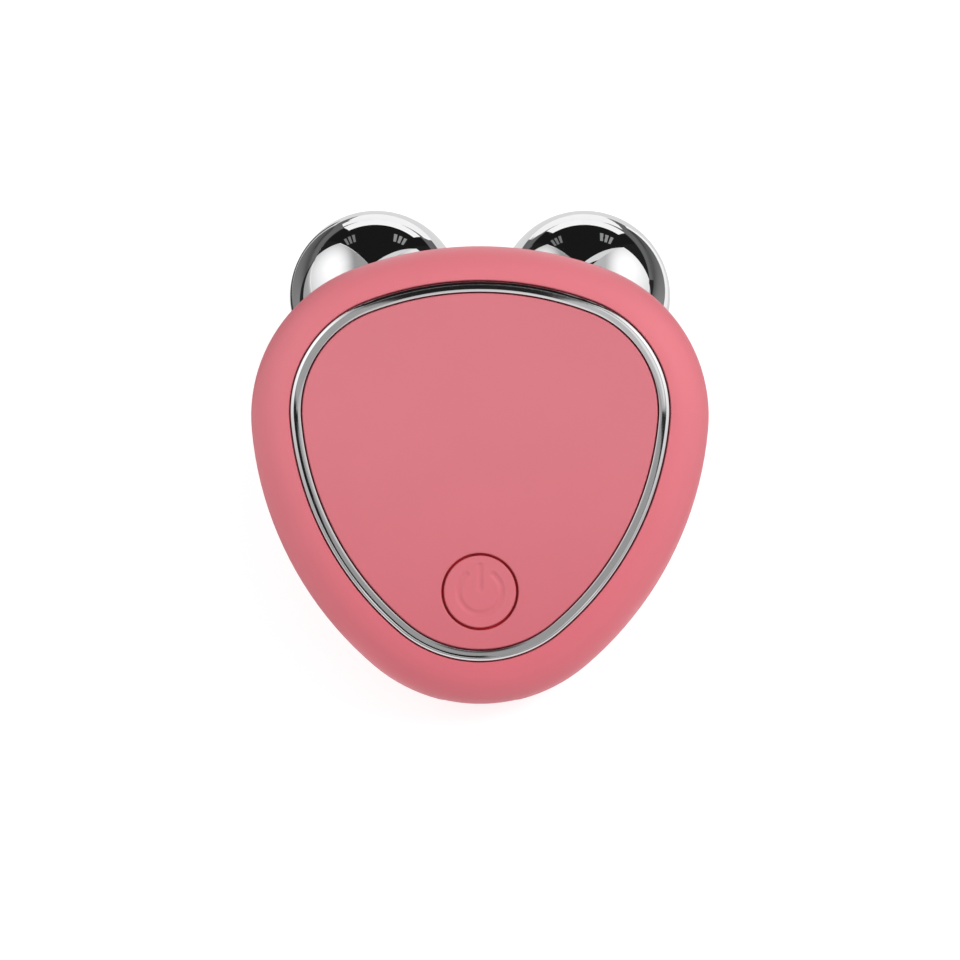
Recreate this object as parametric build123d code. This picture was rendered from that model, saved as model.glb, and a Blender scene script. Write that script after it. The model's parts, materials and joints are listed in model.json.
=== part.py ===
"""Facial toning device: a pebble-shaped hand unit with two free-spinning electrode balls on its back.

Everything is modelled in the panel frame, in millimetres: X across the unit, Y along it towards the
balls, and Z out of the front panel, whose face is the plane Z = 0. The last step turns the whole unit to
the way it rests on a table, on its two balls and the back of its tail.
"""

from build123d import *
import os
from math import asin, atan2, cos, degrees, hypot, pi, radians, sin

# ---------------------------------------------------------------- driving dimensions

OVERCUT = 1.0  # how far a cutting solid runs past the face that it opens
RUNNING_CLEARANCE = 0.03
WASHER_CLEARANCE = 0.05

# Body outline: four tangent arcs a side, from the head's middle round to the tail's middle.
HEAD_RADIUS, HEAD_TURN = 40.9, 20.8
SHOULDER_RADIUS, SHOULDER_TURN = 17.65, 74.3
FLANK_RADIUS, FLANK_TURN = 39.7, 44.6

# Casing, front to back.
BODY_BACK = -15.5
PARTING = -7.5
FRONT_ROUND = 4.8
BACK_ROUND = 7.5
WALL = 1.8
REAR_PROUD = 0.12
PARTING_CHAMFER = 0.2
LIP_HEIGHT = 1.0
LIP_CLEARANCE = 0.06
LIP_INSET = 1.0
SADDLE_CENTRE = (0, 12.3, -12.5)
SADDLE_SIZE = (14.5, 10.5, 6.2)
SADDLE_BLEND = 10.0

# Front deck, trim ring and panel.
DECK_TOP = -1.6
DECK_THICKNESS = 1.2
DECK_BOTTOM = DECK_TOP - DECK_THICKNESS
CAVITY_ROUND = 2.5
TRIM_RISE = 0.44
RECESS_INSET = 4.37
PANEL_INSET = 5.82
TRIM_GAP = 0.16
TRIM_PROUD = 0.35
TRIM_ROUND = 0.45
PANEL_ROUND = 0.2
EDGE_ROUND = 0.15
PANEL_PEGS = ((15.0, 1.5), (-15.0, 1.5), (4.5, 17.2), (-4.5, 17.2))
PEG_RADIUS = 0.8
PEG_LENGTH = 1.8

# Power button and the switch under it.
BUTTON_Y = -13.15
BUTTON_RADIUS = 4.08
BUTTON_GAP = 0.28
BUTTON_TOP = -0.05
BUTTON_TRAVEL = 0.3
FLANGE_RADIUS = 4.9
FLANGE_TOP = -0.97
FLANGE_THICKNESS = 0.6
FLANGE_POCKET_RADIUS = 5.2
FLANGE_CEILING = -0.95
DECK_POCKET_DEPTH = 0.5
BUTTON_STEM_RADIUS = 1.6
DECK_STEM_HOLE = 1.9
PLUNGER_TOP = -2.95
PLUNGER_RADIUS = 1.0
PLUNGER_BOTTOM = -4.0
SWITCH_SIDE = 4.5
SWITCH_HEIGHT = 1.2
SWITCH_CORNER = 0.4
PLUNGER_CHAMFER = 0.1
PLUNGER_OVERTRAVEL = 0.1
SYMBOL_RADIUS = 2.5
SYMBOL_STROKE = 0.8
SYMBOL_DEPTH = 0.12
SYMBOL_GAP_ANGLE = 38.0
SYMBOL_BAR_TOP = 3.3

# Circuit board.
BOARD_FRONT = -4.6
BOARD_THICKNESS = 1.0
BOARD_BACK = BOARD_FRONT - BOARD_THICKNESS
BOARD_MAIN = (22.0, 24.0)
BOARD_MAIN_Y = 4.0
BOARD_CORNER = 1.5
BOARD_TAIL = (18.0, 20.0)
BOARD_TAIL_Y = -14.0
BOARD_EDGE_INSET = 2.6
BOARD_SCREWS = ((9.2, 13.2), (-9.2, 13.2))
BOARD_POST_RADIUS = 1.9
BOARD_SCREW_RADIUS = 0.7
BOARD_SCREW_HEAD = (1.4, 0.9)
BOARD_SCREW_LENGTH = 2.6
BOARD_SCREW_TIP = (0.4, 0.3)
BOARD_SCREW_CROSS = (1.6, 0.35, 0.4)
BOARD_HOLE_CLEARANCE = 0.15
LED_X = 3.6
LED_SIZE = (1.2, 2.0, 0.8)
LED_WINDOW = 1.0

# What the board carries. A chip is (width, length, height), (x, y), pins a side and the pins' pitch.
CONTROL_CHIP = ((3.9, 8.6, 1.4), (-6.0, 5.5), 7, 1.27)
CHARGING_CHIP = ((2.6, 3.0, 1.2), (-6.0, -4.0), 4, 0.65)
CHIP_LIFT, CHIP_CHAMFER = 0.1, 0.15
PIN_FOOT = (0.9, 0.4, 0.2)
PIN_LEG = (0.5, 0.4)
COIL_Y, COIL_HEIGHT = 11.4, 2.8
COIL_FLANGE_RADIUS, COIL_FLANGE_THICKNESS, COIL_WINDING_RADIUS = 3.0, 0.6, 2.5
CAPACITOR_SIZE = (1.6, 0.8, 0.8)
CAPACITOR_ROWS = ((4.2, -3.5), (9.2, -2.5))
CAPACITOR_PITCH, CAPACITORS_IN_ROW = 2.2, 4

# Charging socket at the tail, along -Y.
SOCKET_WIDTH, SOCKET_HEIGHT, SOCKET_LENGTH = 8.94, 3.16, 7.3
SOCKET_WALL = 0.3
SOCKET_MOUTH_INSET = 0.8
SOCKET_Z = BOARD_BACK - SOCKET_HEIGHT / 2
PORT_CLEARANCE = 0.28
TONGUE_WIDTH, TONGUE_THICKNESS, TONGUE_RECESS = 6.7, 0.7, 0.9
TONGUE_BASE_LENGTH = 1.8

# Battery.
CELL_WIDTH, CELL_LENGTH, CELL_THICKNESS = 20.0, 22.0, 5.2
CELL_Y = -5.0
CELL_ROUND = 1.0
FOAM_THICKNESS = 1.1
FOAM_SIZE = (15.0, 17.0)
CELL_RIB = (0.8, 11.0, 4.0)
CELL_RIB_X = 10.8

# Leads. Each route is for the right-hand side, and is mirrored for the left.
LEAD_RADIUS = 0.4
BATTERY_LEAD_ROUTE = ((6.0, 6.0, -9.2), (6.0, 7.6, -9.2), (6.2, 8.4, -7.7), (6.2, 8.4, BOARD_BACK))
ELECTRODE_LEAD_ROUTE = ((9.0, 19.0, -7.6), (6.0, 14.9, -7.8), (6.0, 14.9, BOARD_BACK))
LEAD_IN_BARREL, LEAD_OUT_OF_BARREL = 2.0, 1.2
BEND_SHARE = 0.45  # of the shorter run beside a bend, taken up by the bend

# Screws that join the two shells, from the deck into the rear shell's posts.
CASE_SCREWS = ((16.8, 8.5), (-16.8, 8.5), (13.6, -7.2), (-13.6, -7.2))
CASE_POST_RADIUS = 2.3
CASE_PAD_RADIUS = 2.6
CASE_PAD_BOTTOM = -4.0
CASE_SCREW_RADIUS = 0.9
CASE_SCREW_HEAD = (1.8, 1.0)
CASE_SCREW_SEAT = -2.7
CASE_SCREW_LENGTH = 8.0
CASE_SCREW_TIP = (0.2, 1.0)
CASE_SCREW_CROSS = (2.0, 0.45, 0.5)
CASE_HOLE_CLEARANCE = 0.1
CASE_HOLE_END = -11.0
SCREW_HEAD_ROUND = 0.4  # of the head's height

# Rollers. Stations run along each roller's axle from the ball's centre towards the body.
BALL_RADIUS = 10.0
BALL_X, BALL_Y, BALL_Z = 12.1, 20.75, -29.5
SPLAY, RAKE = 24.0, 27.0
BALL_WALL = 1.2
BALL_MOUTH = 9.3
BALL_MOUTH_ROUND = 0.35
SLEEVE_RADIUS = 3.9
SLEEVE_END = -5.0
SLEEVE_BORE_END = -3.9
BUSH_RADIUS = 2.8
BUSH_SPAN = (-2.0, 9.0)
AXLE_RADIUS = 2.0
AXLE_TIP = -3.6
AXLE_TIP_CHAMFER = 0.5
CLIP_GROOVE = (-2.62, -2.08)
CLIP_GROOVE_RADIUS = 1.35
CLIP_RADII = (1.75, 2.4)
CLIP_THICKNESS = 0.5
CLIP_OPENING = 70.0
CLIP_PLAY = 0.02
THRUST_SPAN = (9.35, 9.85)
THRUST_RADIUS = 3.3
SHOULDER_SPAN = (9.9, 10.7)
AXLE_SHOULDER_RADIUS = 3.3
COLLAR_SPAN = (10.1, 12.0)
COLLAR_TOP_RADIUS, COLLAR_BASE_RADIUS = 4.0, 4.9
COLLAR_ROUND = 0.4
SEAT = COLLAR_SPAN[1]
SEAL_RING_RADIUS, SEAL_SECTION_RADIUS = 3.0, 0.44
SEAL_GROOVE = (2.5, 3.5, 0.9)
POST_RADIUS, POST_FOOT = 5.3, 18.0
POST_BLEND = 0.8
CLAMP_FACE = 17.4
CLAMP_POCKET_RADIUS = 3.9
CLAMP_POCKET_END = 27.0
THREAD_START, THREAD_END, THREAD_RADIUS = 17.0, 21.4, 1.5
WASHER_RADIUS, WASHER_THICKNESS = 3.2, 0.5
TERMINAL_RADIUS, TERMINAL_THICKNESS = 2.9, 0.4
TERMINAL_TAB_START, TERMINAL_TAB_WIDTH = 0.5, 2.0
BARREL_SPAN = (5.0, 8.0)
BARREL_RADIUS, BARREL_BORE = 0.85, 0.45
NUT_FLATS, NUT_HEIGHT = 5.5, 2.4

SIDES = {"left": -1, "right": 1}

# ---------------------------------------------------------------- outline and casing blanks


def outline_arcs():
    """The right half's arcs as (centre, radius, start, turn), and half the body's length.

    Angles are in degrees, clockwise from +Y.
    """
    head = Vector(0, -HEAD_RADIUS)
    angle = HEAD_TURN
    arcs = [[head, HEAD_RADIUS, 0, HEAD_TURN]]
    centre = head
    radii = (SHOULDER_RADIUS, SHOULDER_TURN), (FLANK_RADIUS, FLANK_TURN)
    before = HEAD_RADIUS
    for radius, turn in radii:
        centre = centre + (before - radius) * Vector(sin(radians(angle)), cos(radians(angle)))
        arcs.append([centre, radius, angle, turn])
        angle += turn
        before = radius
    tail_radius = FLANK_RADIUS + centre.X / sin(radians(angle))  # closes the outline on X = 0
    centre = centre + (before - tail_radius) * Vector(sin(radians(angle)), cos(radians(angle)))
    arcs.append([centre, tail_radius, angle, 180 - angle])
    half_length = (tail_radius - centre.Y) / 2
    return [(c + Vector(0, half_length), r, s, t) for c, r, s, t in arcs], half_length


ARCS, HALF_LENGTH = outline_arcs()


def outline(inset=0.0, rise=0.0):
    """The body's outline as a face, moved in by inset and along +Y by rise."""
    right = [CenterArc(c + Vector(0, rise), r - inset, 90 - start, -turn) for c, r, start, turn in ARCS]
    left = [edge.mirror(Plane.YZ) for edge in right]
    return Face(Wire(right + left))


def plate(inset, low, high, rise=0.0):
    """The outline as a flat plate from low to high."""
    return extrude(Pos(0, 0, low) * outline(inset, rise), high - low, dir=(0, 0, 1))


def pebble(inset, low, high, low_round=0.0, high_round=0.0):
    """A plate with its two rims rounded."""
    solid = plate(inset, low, high)
    if high_round:
        solid = fillet(solid.faces().sort_by(Axis.Z)[-1].edges(), high_round)
    if low_round:
        solid = fillet(solid.faces().sort_by(Axis.Z)[0].edges(), low_round)
    return solid


def rod(radius, low, high, x=0.0, y=0.0):
    """A cylinder along Z between two heights."""
    return Pos(x, y, (low + high) / 2) * Cylinder(radius, high - low)


def tube(outer, inner, low, high, x=0.0, y=0.0):
    return rod(outer, low, high, x, y) - rod(inner, low, high, x, y)


def block(size, low, x=0.0, y=0.0):
    """A box of (width, length, height) standing on low."""
    return Pos(x, y, low + size[2] / 2) * Box(*size)


def stadium(width, height, near, far, z):
    """A bar of stadium section, its flats up and down, along Y from near to far."""
    section = Plane(origin=(0, near, z), x_dir=(1, 0, 0), z_dir=(0, 1, 0)) * SlotOverall(width, height)
    return extrude(section, far - near)


def roller_frame(side):
    """Where a roller stands: origin at the ball's centre, +Z up the axle to the body, +X to the front."""
    toward_body = Vector(
        -side * sin(radians(SPLAY)),
        -cos(radians(SPLAY)) * sin(radians(RAKE)),
        cos(radians(SPLAY)) * cos(radians(RAKE)),
    )
    front = Vector(0, 0, 1) - toward_body * toward_body.Z
    return Plane(origin=(side * BALL_X, BALL_Y, BALL_Z), x_dir=front, z_dir=toward_body)


def on_roller(side, shape):
    return roller_frame(side).location * shape


def port_opening():
    """The opening in both shells that the charging socket looks out of, as a cutting solid."""
    width, height = SOCKET_WIDTH + 2 * PORT_CLEARANCE, SOCKET_HEIGHT + 2 * PORT_CLEARANCE
    near = -HALF_LENGTH - 2 * WALL
    far = -HALF_LENGTH + SOCKET_MOUTH_INSET + WALL
    return stadium(width, height, near, far, SOCKET_Z)


# ---------------------------------------------------------------- casing


def front_shell():
    shell = pebble(0, PARTING, 0, high_round=FRONT_ROUND)
    rim = shell.faces().sort_by(Axis.Z)[0].edges()
    shell = chamfer(rim, PARTING_CHAMFER)
    shell -= plate(RECESS_INSET, DECK_TOP, OVERCUT, TRIM_RISE)
    mouth = shell.edges().filter_by(lambda edge: edge.bounding_box().min.Z > DECK_TOP / 2)
    shell = fillet(mouth, EDGE_ROUND)
    shell -= pebble(WALL, PARTING - OVERCUT, DECK_BOTTOM, high_round=CAVITY_ROUND)
    shell -= plate(LIP_INSET - LIP_CLEARANCE, PARTING - OVERCUT, PARTING + LIP_HEIGHT + LIP_CLEARANCE)
    for x, y in CASE_SCREWS:
        shell += rod(CASE_PAD_RADIUS, CASE_PAD_BOTTOM, DECK_BOTTOM, x, y)
        shell -= rod(CASE_SCREW_HEAD[0] + CASE_HOLE_CLEARANCE, CASE_SCREW_SEAT, 0, x, y)
        shell -= rod(CASE_SCREW_RADIUS + CASE_HOLE_CLEARANCE, CASE_PAD_BOTTOM, 0, x, y)
    for x, y in BOARD_SCREWS:
        shell += rod(BOARD_POST_RADIUS, BOARD_FRONT, DECK_BOTTOM, x, y)
        shell -= rod(BOARD_SCREW_RADIUS, BOARD_FRONT, DECK_BOTTOM, x, y)
    for x, y in PANEL_PEGS:
        shell -= rod(PEG_RADIUS, DECK_BOTTOM, 0, x, y)
    shell -= rod(FLANGE_POCKET_RADIUS, DECK_TOP - DECK_POCKET_DEPTH, 0, 0, BUTTON_Y)
    shell -= rod(DECK_STEM_HOLE, DECK_BOTTOM, 0, 0, BUTTON_Y)
    for side in SIDES.values():
        shell -= rod(LED_WINDOW, DECK_BOTTOM, 0, side * LED_X, BUTTON_Y)
    return shell - port_opening()


def rear_shell():
    shell = pebble(-REAR_PROUD, BODY_BACK, PARTING, low_round=BACK_ROUND)
    shell = chamfer(shell.faces().sort_by(Axis.Z)[-1].edges(), PARTING_CHAMFER)
    unit_ball = Rot(90, 0, 0) * Rot(0, 0, 90) * Sphere(1)  # its poles and its seam end up inside the casing
    saddle = Pos(*SADDLE_CENTRE) * scale(unit_ball, by=SADDLE_SIZE)
    shell += saddle - plate(0, PARTING, 0)
    shell = fillet(shell.faces().sort_by(Axis.Z)[0].edges(), SADDLE_BLEND)
    for side in SIDES.values():
        placed = on_roller(side, rod(POST_RADIUS, SEAT, POST_FOOT))
        joined = shell + placed
        shell = fillet(new_edges(shell, placed, combined=joined), POST_BLEND)
    shell += plate(LIP_INSET, PARTING - OVERCUT, PARTING + LIP_HEIGHT)
    shell -= pebble(WALL, BODY_BACK + WALL, 0, low_round=BACK_ROUND - WALL)
    inner_posts = Part()
    for x, y in CASE_SCREWS:
        inner_posts += rod(CASE_POST_RADIUS, BODY_BACK + WALL / 2, CASE_PAD_BOTTOM, x, y)
    for side in SIDES.values():
        inner_posts += block(CELL_RIB, BODY_BACK + WALL, side * CELL_RIB_X, CELL_Y)
    shell += inner_posts
    for x, y in CASE_SCREWS:
        shell -= rod(CASE_SCREW_RADIUS, CASE_HOLE_END, CASE_PAD_BOTTOM, x, y)
    for side in SIDES.values():
        seat_cuts = rod(AXLE_RADIUS + RUNNING_CLEARANCE, SEAT - OVERCUT, CLAMP_POCKET_END)
        seat_cuts += tube(SEAL_GROOVE[1], SEAL_GROOVE[0], SEAT, SEAT + SEAL_GROOVE[2])
        seat_cuts += rod(CLAMP_POCKET_RADIUS, CLAMP_FACE, CLAMP_POCKET_END)
        shell -= on_roller(side, seat_cuts)
    return shell - port_opening()


def trim_ring():
    outer, inner = RECESS_INSET + TRIM_GAP, PANEL_INSET - TRIM_GAP
    ring = plate(outer, DECK_TOP, TRIM_PROUD, TRIM_RISE) - plate(inner, DECK_TOP, TRIM_PROUD, TRIM_RISE)
    return fillet(ring.faces().sort_by(Axis.Z)[-1].edges(), TRIM_ROUND)


def front_panel():
    panel = plate(PANEL_INSET, DECK_TOP, 0, TRIM_RISE)
    panel -= rod(BUTTON_RADIUS + BUTTON_GAP, DECK_TOP, OVERCUT, 0, BUTTON_Y)
    panel = fillet(panel.faces().sort_by(Axis.Z)[-1].edges(), PANEL_ROUND)
    panel -= rod(FLANGE_POCKET_RADIUS, DECK_TOP, FLANGE_CEILING, 0, BUTTON_Y)
    for x, y in PANEL_PEGS:
        panel += rod(PEG_RADIUS, DECK_TOP - PEG_LENGTH, DECK_TOP, x, y)
    return panel


def screw(head_size, shank_radius, length, tip_size, cross_size):
    """A cross-head screw with the seat of its head on Z = 0 and its shank downwards."""
    head_radius, head_height = head_size
    tip_radius, tip_length = tip_size
    span, width, depth = cross_size
    head = rod(head_radius, 0, head_height)
    head = fillet(head.edges().sort_by(Axis.Z)[-1], SCREW_HEAD_ROUND * head_height)
    shank = rod(shank_radius, tip_length - length, 0)
    tip = Pos(0, 0, tip_length / 2 - length) * Cone(tip_radius, shank_radius, tip_length)
    cross = Box(span, width, 2 * depth) + Box(width, span, 2 * depth)
    return head + shank + tip - Pos(0, 0, head_height) * cross


def case_screws():
    piece = screw(
        CASE_SCREW_HEAD, CASE_SCREW_RADIUS, CASE_SCREW_LENGTH, CASE_SCREW_TIP, CASE_SCREW_CROSS
    )
    return [Pos(x, y, CASE_SCREW_SEAT) * piece for x, y in CASE_SCREWS]


# ---------------------------------------------------------------- button and switch


def power_symbol():
    """The stroke of the standard power mark: an open ring with a bar at its gap, as a cutting solid."""
    half = SYMBOL_STROKE / 2
    ring = Circle(SYMBOL_RADIUS + half) - Circle(SYMBOL_RADIUS - half)
    reach = 2 * SYMBOL_RADIUS
    edge_x = reach * sin(radians(SYMBOL_GAP_ANGLE))
    edge_y = reach * cos(radians(SYMBOL_GAP_ANGLE))
    ring -= make_face(Polyline((0, 0), (edge_x, edge_y), (-edge_x, edge_y), (0, 0)))
    for side in SIDES.values():
        end_x = side * SYMBOL_RADIUS * sin(radians(SYMBOL_GAP_ANGLE))
        end_y = SYMBOL_RADIUS * cos(radians(SYMBOL_GAP_ANGLE))
        ring += Pos(end_x, end_y) * Circle(half)
    bar = Pos(0, SYMBOL_BAR_TOP / 2) * Rot(0, 0, 90) * SlotOverall(SYMBOL_BAR_TOP, SYMBOL_STROKE)
    mark = extrude(ring + bar, SYMBOL_DEPTH + OVERCUT)
    return Pos(0, BUTTON_Y, BUTTON_TOP - SYMBOL_DEPTH) * mark


def power_button():
    flange_bottom = FLANGE_TOP - FLANGE_THICKNESS
    cap = rod(BUTTON_RADIUS, flange_bottom, BUTTON_TOP, 0, BUTTON_Y)
    cap = fillet(cap.edges().sort_by(Axis.Z)[-1], PANEL_ROUND)
    cap += rod(FLANGE_RADIUS, flange_bottom, FLANGE_TOP, 0, BUTTON_Y)
    cap += rod(BUTTON_STEM_RADIUS, PLUNGER_TOP, flange_bottom, 0, BUTTON_Y)
    return cap - power_symbol()


def switch_plunger():
    plunger = rod(PLUNGER_RADIUS, PLUNGER_BOTTOM, PLUNGER_TOP, 0, BUTTON_Y)
    return chamfer(plunger.edges().sort_by(Axis.Z)[-1], PLUNGER_CHAMFER)


def switch_base():
    base = block((SWITCH_SIDE, SWITCH_SIDE, SWITCH_HEIGHT), BOARD_FRONT, 0, BUTTON_Y)
    base = chamfer(base.edges().filter_by(Axis.Z), SWITCH_CORNER)
    well_bottom = PLUNGER_BOTTOM - BUTTON_TRAVEL - PLUNGER_OVERTRAVEL
    return base - rod(PLUNGER_RADIUS + WASHER_CLEARANCE, well_bottom, 0, 0, BUTTON_Y)


# ---------------------------------------------------------------- circuit board and what it carries


def circuit_board():
    main_part = Pos(0, BOARD_MAIN_Y) * RectangleRounded(*BOARD_MAIN, BOARD_CORNER)
    tail_part = Pos(0, BOARD_TAIL_Y) * Rectangle(*BOARD_TAIL)
    shape = (main_part + tail_part) & outline(BOARD_EDGE_INSET)
    board = Pos(0, 0, BOARD_BACK) * extrude(shape, BOARD_THICKNESS, dir=(0, 0, 1))
    for x, y in BOARD_SCREWS:
        board -= rod(BOARD_SCREW_RADIUS + BOARD_HOLE_CLEARANCE, BOARD_BACK, BOARD_FRONT, x, y)
    return board


def board_screws():
    """Driven from the board's back into the front shell's posts."""
    piece = screw(
        BOARD_SCREW_HEAD, BOARD_SCREW_RADIUS, BOARD_SCREW_LENGTH, BOARD_SCREW_TIP, BOARD_SCREW_CROSS
    )
    return [Pos(x, y, BOARD_BACK) * Rot(180, 0, 0) * piece for x, y in BOARD_SCREWS]


def chip(size, place, pins, pitch):
    """A moulded chip on the board's front, with two rows of bent pins."""
    width, length, height = size
    x, y = place
    body = block(size, BOARD_FRONT + CHIP_LIFT, x, y)
    body = chamfer(body.edges().group_by(Axis.Z)[-1], CHIP_CHAMFER)
    for side in SIDES.values():
        foot_x = x + side * (width + PIN_FOOT[0]) / 2
        leg_x = x + side * (width / 2 + CHIP_LIFT)
        for n in range(pins):
            pin_y = y + (n - (pins - 1) / 2) * pitch
            body += block(PIN_FOOT, BOARD_FRONT, foot_x, pin_y)
            body += block((*PIN_LEG, height / 2), BOARD_FRONT, leg_x, pin_y)
    return body


def step_up_coil():
    """A drum coil on the board's back: two ferrite flanges with the winding between."""
    low = BOARD_BACK - COIL_HEIGHT
    coil = rod(COIL_WINDING_RADIUS, low, BOARD_BACK, 0, COIL_Y)
    for flange_low in (low, BOARD_BACK - COIL_FLANGE_THICKNESS):
        coil += rod(COIL_FLANGE_RADIUS, flange_low, flange_low + COIL_FLANGE_THICKNESS, 0, COIL_Y)
    return coil


def board_capacitors():
    """Small ceramic blocks in two rows on the board's front."""
    return [
        block(CAPACITOR_SIZE, BOARD_FRONT, x, first_y + CAPACITOR_PITCH * n)
        for x, first_y in CAPACITOR_ROWS
        for n in range(CAPACITORS_IN_ROW)
    ]


def status_leds():
    return [block(LED_SIZE, BOARD_FRONT, side * LED_X, BUTTON_Y) for side in SIDES.values()]


def socket_shell():
    near = -HALF_LENGTH + SOCKET_MOUTH_INSET
    far = near + SOCKET_LENGTH
    outer = stadium(SOCKET_WIDTH, SOCKET_HEIGHT, near, far, SOCKET_Z)
    inner = stadium(SOCKET_WIDTH - 2 * SOCKET_WALL, SOCKET_HEIGHT - 2 * SOCKET_WALL, near, far, SOCKET_Z)
    return outer - inner


def socket_tongue():
    """The socket's insulator: a plug at the back of the metal shell, with the contacts' tongue."""
    far = -HALF_LENGTH + SOCKET_MOUTH_INSET + SOCKET_LENGTH
    width, height = SOCKET_WIDTH - 2 * SOCKET_WALL, SOCKET_HEIGHT - 2 * SOCKET_WALL
    base = stadium(width, height, far - TONGUE_BASE_LENGTH, far, SOCKET_Z)
    size = (TONGUE_WIDTH, SOCKET_LENGTH - TONGUE_RECESS, TONGUE_THICKNESS)
    return base + block(size, SOCKET_Z - TONGUE_THICKNESS / 2, 0, far - size[1] / 2)


# ---------------------------------------------------------------- battery and leads


def battery_cell():
    cell = block((CELL_WIDTH, CELL_LENGTH, CELL_THICKNESS), BODY_BACK + WALL + FOAM_THICKNESS, 0, CELL_Y)
    return fillet(cell.edges(), CELL_ROUND)


def foam_pad():
    return block((*FOAM_SIZE, FOAM_THICKNESS), BODY_BACK + WALL, 0, CELL_Y)


def mirrored(route, side):
    return [Vector(side * x, y, z) for x, y, z in route]


def lead(points):
    """A round lead through the points, its bends as large as its runs allow."""
    runs = [b - a for a, b in zip(points, points[1:])]
    radii = []
    for before, after in zip(runs, runs[1:]):
        half_turn = radians(before.get_angle(after)) / 2
        radii.append(BEND_SHARE * min(before.length, after.length) * cos(half_turn) / sin(half_turn))
    path = FilletPolyline(*points, radius=radii)
    start = Plane(origin=path @ 0, z_dir=path % 0)
    solid = sweep(start * Circle(LEAD_RADIUS), path)
    fullness = solid.volume / (pi * LEAD_RADIUS**2 * path.length)
    print("lead bend radii", [round(r, 2) for r in radii], "fullness", round(fullness, 3))
    return solid


def battery_lead(side):
    """From the cell's end up to a pad on the board's back."""
    return lead(mirrored(BATTERY_LEAD_ROUTE, side))


def electrode_lead(side):
    """From inside the terminal's barrel round to a pad on the board's back."""
    station = CLAMP_FACE + WASHER_THICKNESS + TERMINAL_THICKNESS / 2
    frame = roller_frame(side)
    inside = frame.from_local_coords(Vector(BARREL_SPAN[1] - LEAD_IN_BARREL, 0, station))
    outside = frame.from_local_coords(Vector(BARREL_SPAN[1] + LEAD_OUT_OF_BARREL, 0, station))
    return lead([inside, outside, *mirrored(ELECTRODE_LEAD_ROUTE, side)])


# ---------------------------------------------------------------- rollers, in the roller's own frame


def ball():
    hollow = Sphere(BALL_RADIUS - BALL_WALL) - rod(SLEEVE_RADIUS, SLEEVE_END, BALL_RADIUS)
    shape = Sphere(BALL_RADIUS) - hollow
    shape -= rod(BALL_RADIUS, BALL_MOUTH, BALL_RADIUS + OVERCUT)
    mouth = shape.edges().filter_by(GeomType.CIRCLE).sort_by(Axis.Z)[-1]
    shape = fillet(mouth, BALL_MOUTH_ROUND)
    return shape - rod(BUSH_RADIUS, SLEEVE_BORE_END, BALL_RADIUS)


def bush():
    return tube(BUSH_RADIUS, AXLE_RADIUS + RUNNING_CLEARANCE, *BUSH_SPAN)


def axle():
    shaft = rod(AXLE_RADIUS, AXLE_TIP, THREAD_START)
    shaft = chamfer(shaft.edges().sort_by(Axis.Z)[0], AXLE_TIP_CHAMFER)
    shaft += rod(AXLE_SHOULDER_RADIUS, *SHOULDER_SPAN)
    shaft += rod(THREAD_RADIUS, THREAD_START, THREAD_END)
    return shaft - tube(AXLE_RADIUS + OVERCUT, CLIP_GROOVE_RADIUS, *CLIP_GROOVE)


def retaining_clip():
    """A flat spring ring in the axle's groove, open over CLIP_OPENING degrees."""
    low = CLIP_GROOVE[0] + CLIP_PLAY
    inner, outer = CLIP_RADII
    clip = tube(outer, inner, low, low + CLIP_THICKNESS)
    reach = 2 * outer
    x = reach * cos(radians(CLIP_OPENING / 2))
    y = reach * sin(radians(CLIP_OPENING / 2))
    opening = make_face(Polyline((0, 0), (x, y), (x, -y), (0, 0)))
    return clip - Pos(0, 0, low) * extrude(opening, CLIP_THICKNESS)


def thrust_washer():
    return tube(THRUST_RADIUS, AXLE_RADIUS + WASHER_CLEARANCE, *THRUST_SPAN)


def collar():
    low, high = COLLAR_SPAN
    cone = Pos(0, 0, (low + high) / 2) * Cone(COLLAR_TOP_RADIUS, COLLAR_BASE_RADIUS, high - low)
    cone = fillet(cone.edges().sort_by(Axis.Z)[0], COLLAR_ROUND)
    return cone - rod(AXLE_SHOULDER_RADIUS, low, SHOULDER_SPAN[1]) - rod(AXLE_RADIUS, low, high)


def seal_ring():
    return Pos(0, 0, SEAT + SEAL_GROOVE[2] / 2) * Torus(SEAL_RING_RADIUS, SEAL_SECTION_RADIUS)


def clamp_washer():
    top = CLAMP_FACE + WASHER_THICKNESS
    return tube(WASHER_RADIUS, THREAD_RADIUS + WASHER_CLEARANCE, CLAMP_FACE, top)


def ring_terminal():
    """A flat ring round the axle's thread, with a tab to the barrel that holds the electrode's lead."""
    low = CLAMP_FACE + WASHER_THICKNESS
    start, end = BARREL_SPAN
    tab = (start, TERMINAL_TAB_WIDTH, TERMINAL_THICKNESS)
    lying = Pos((start + end) / 2, 0, low + TERMINAL_THICKNESS / 2) * Rot(0, 90, 0)
    ring = rod(TERMINAL_RADIUS, low, low + TERMINAL_THICKNESS)
    ring += block(tab, low, TERMINAL_TAB_START + start / 2)
    ring += lying * Cylinder(BARREL_RADIUS, end - start)
    ring -= lying * Cylinder(BARREL_BORE, end - start)
    return ring - rod(THREAD_RADIUS + WASHER_CLEARANCE, low, low + TERMINAL_THICKNESS)


def clamp_nut():
    low = CLAMP_FACE + WASHER_THICKNESS + TERMINAL_THICKNESS
    hexagon = RegularPolygon(NUT_FLATS / 2, 6, major_radius=False)
    return Pos(0, 0, low) * extrude(hexagon, NUT_HEIGHT) - rod(THREAD_RADIUS, low, low + NUT_HEIGHT)


# ---------------------------------------------------------------- assembly


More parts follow.
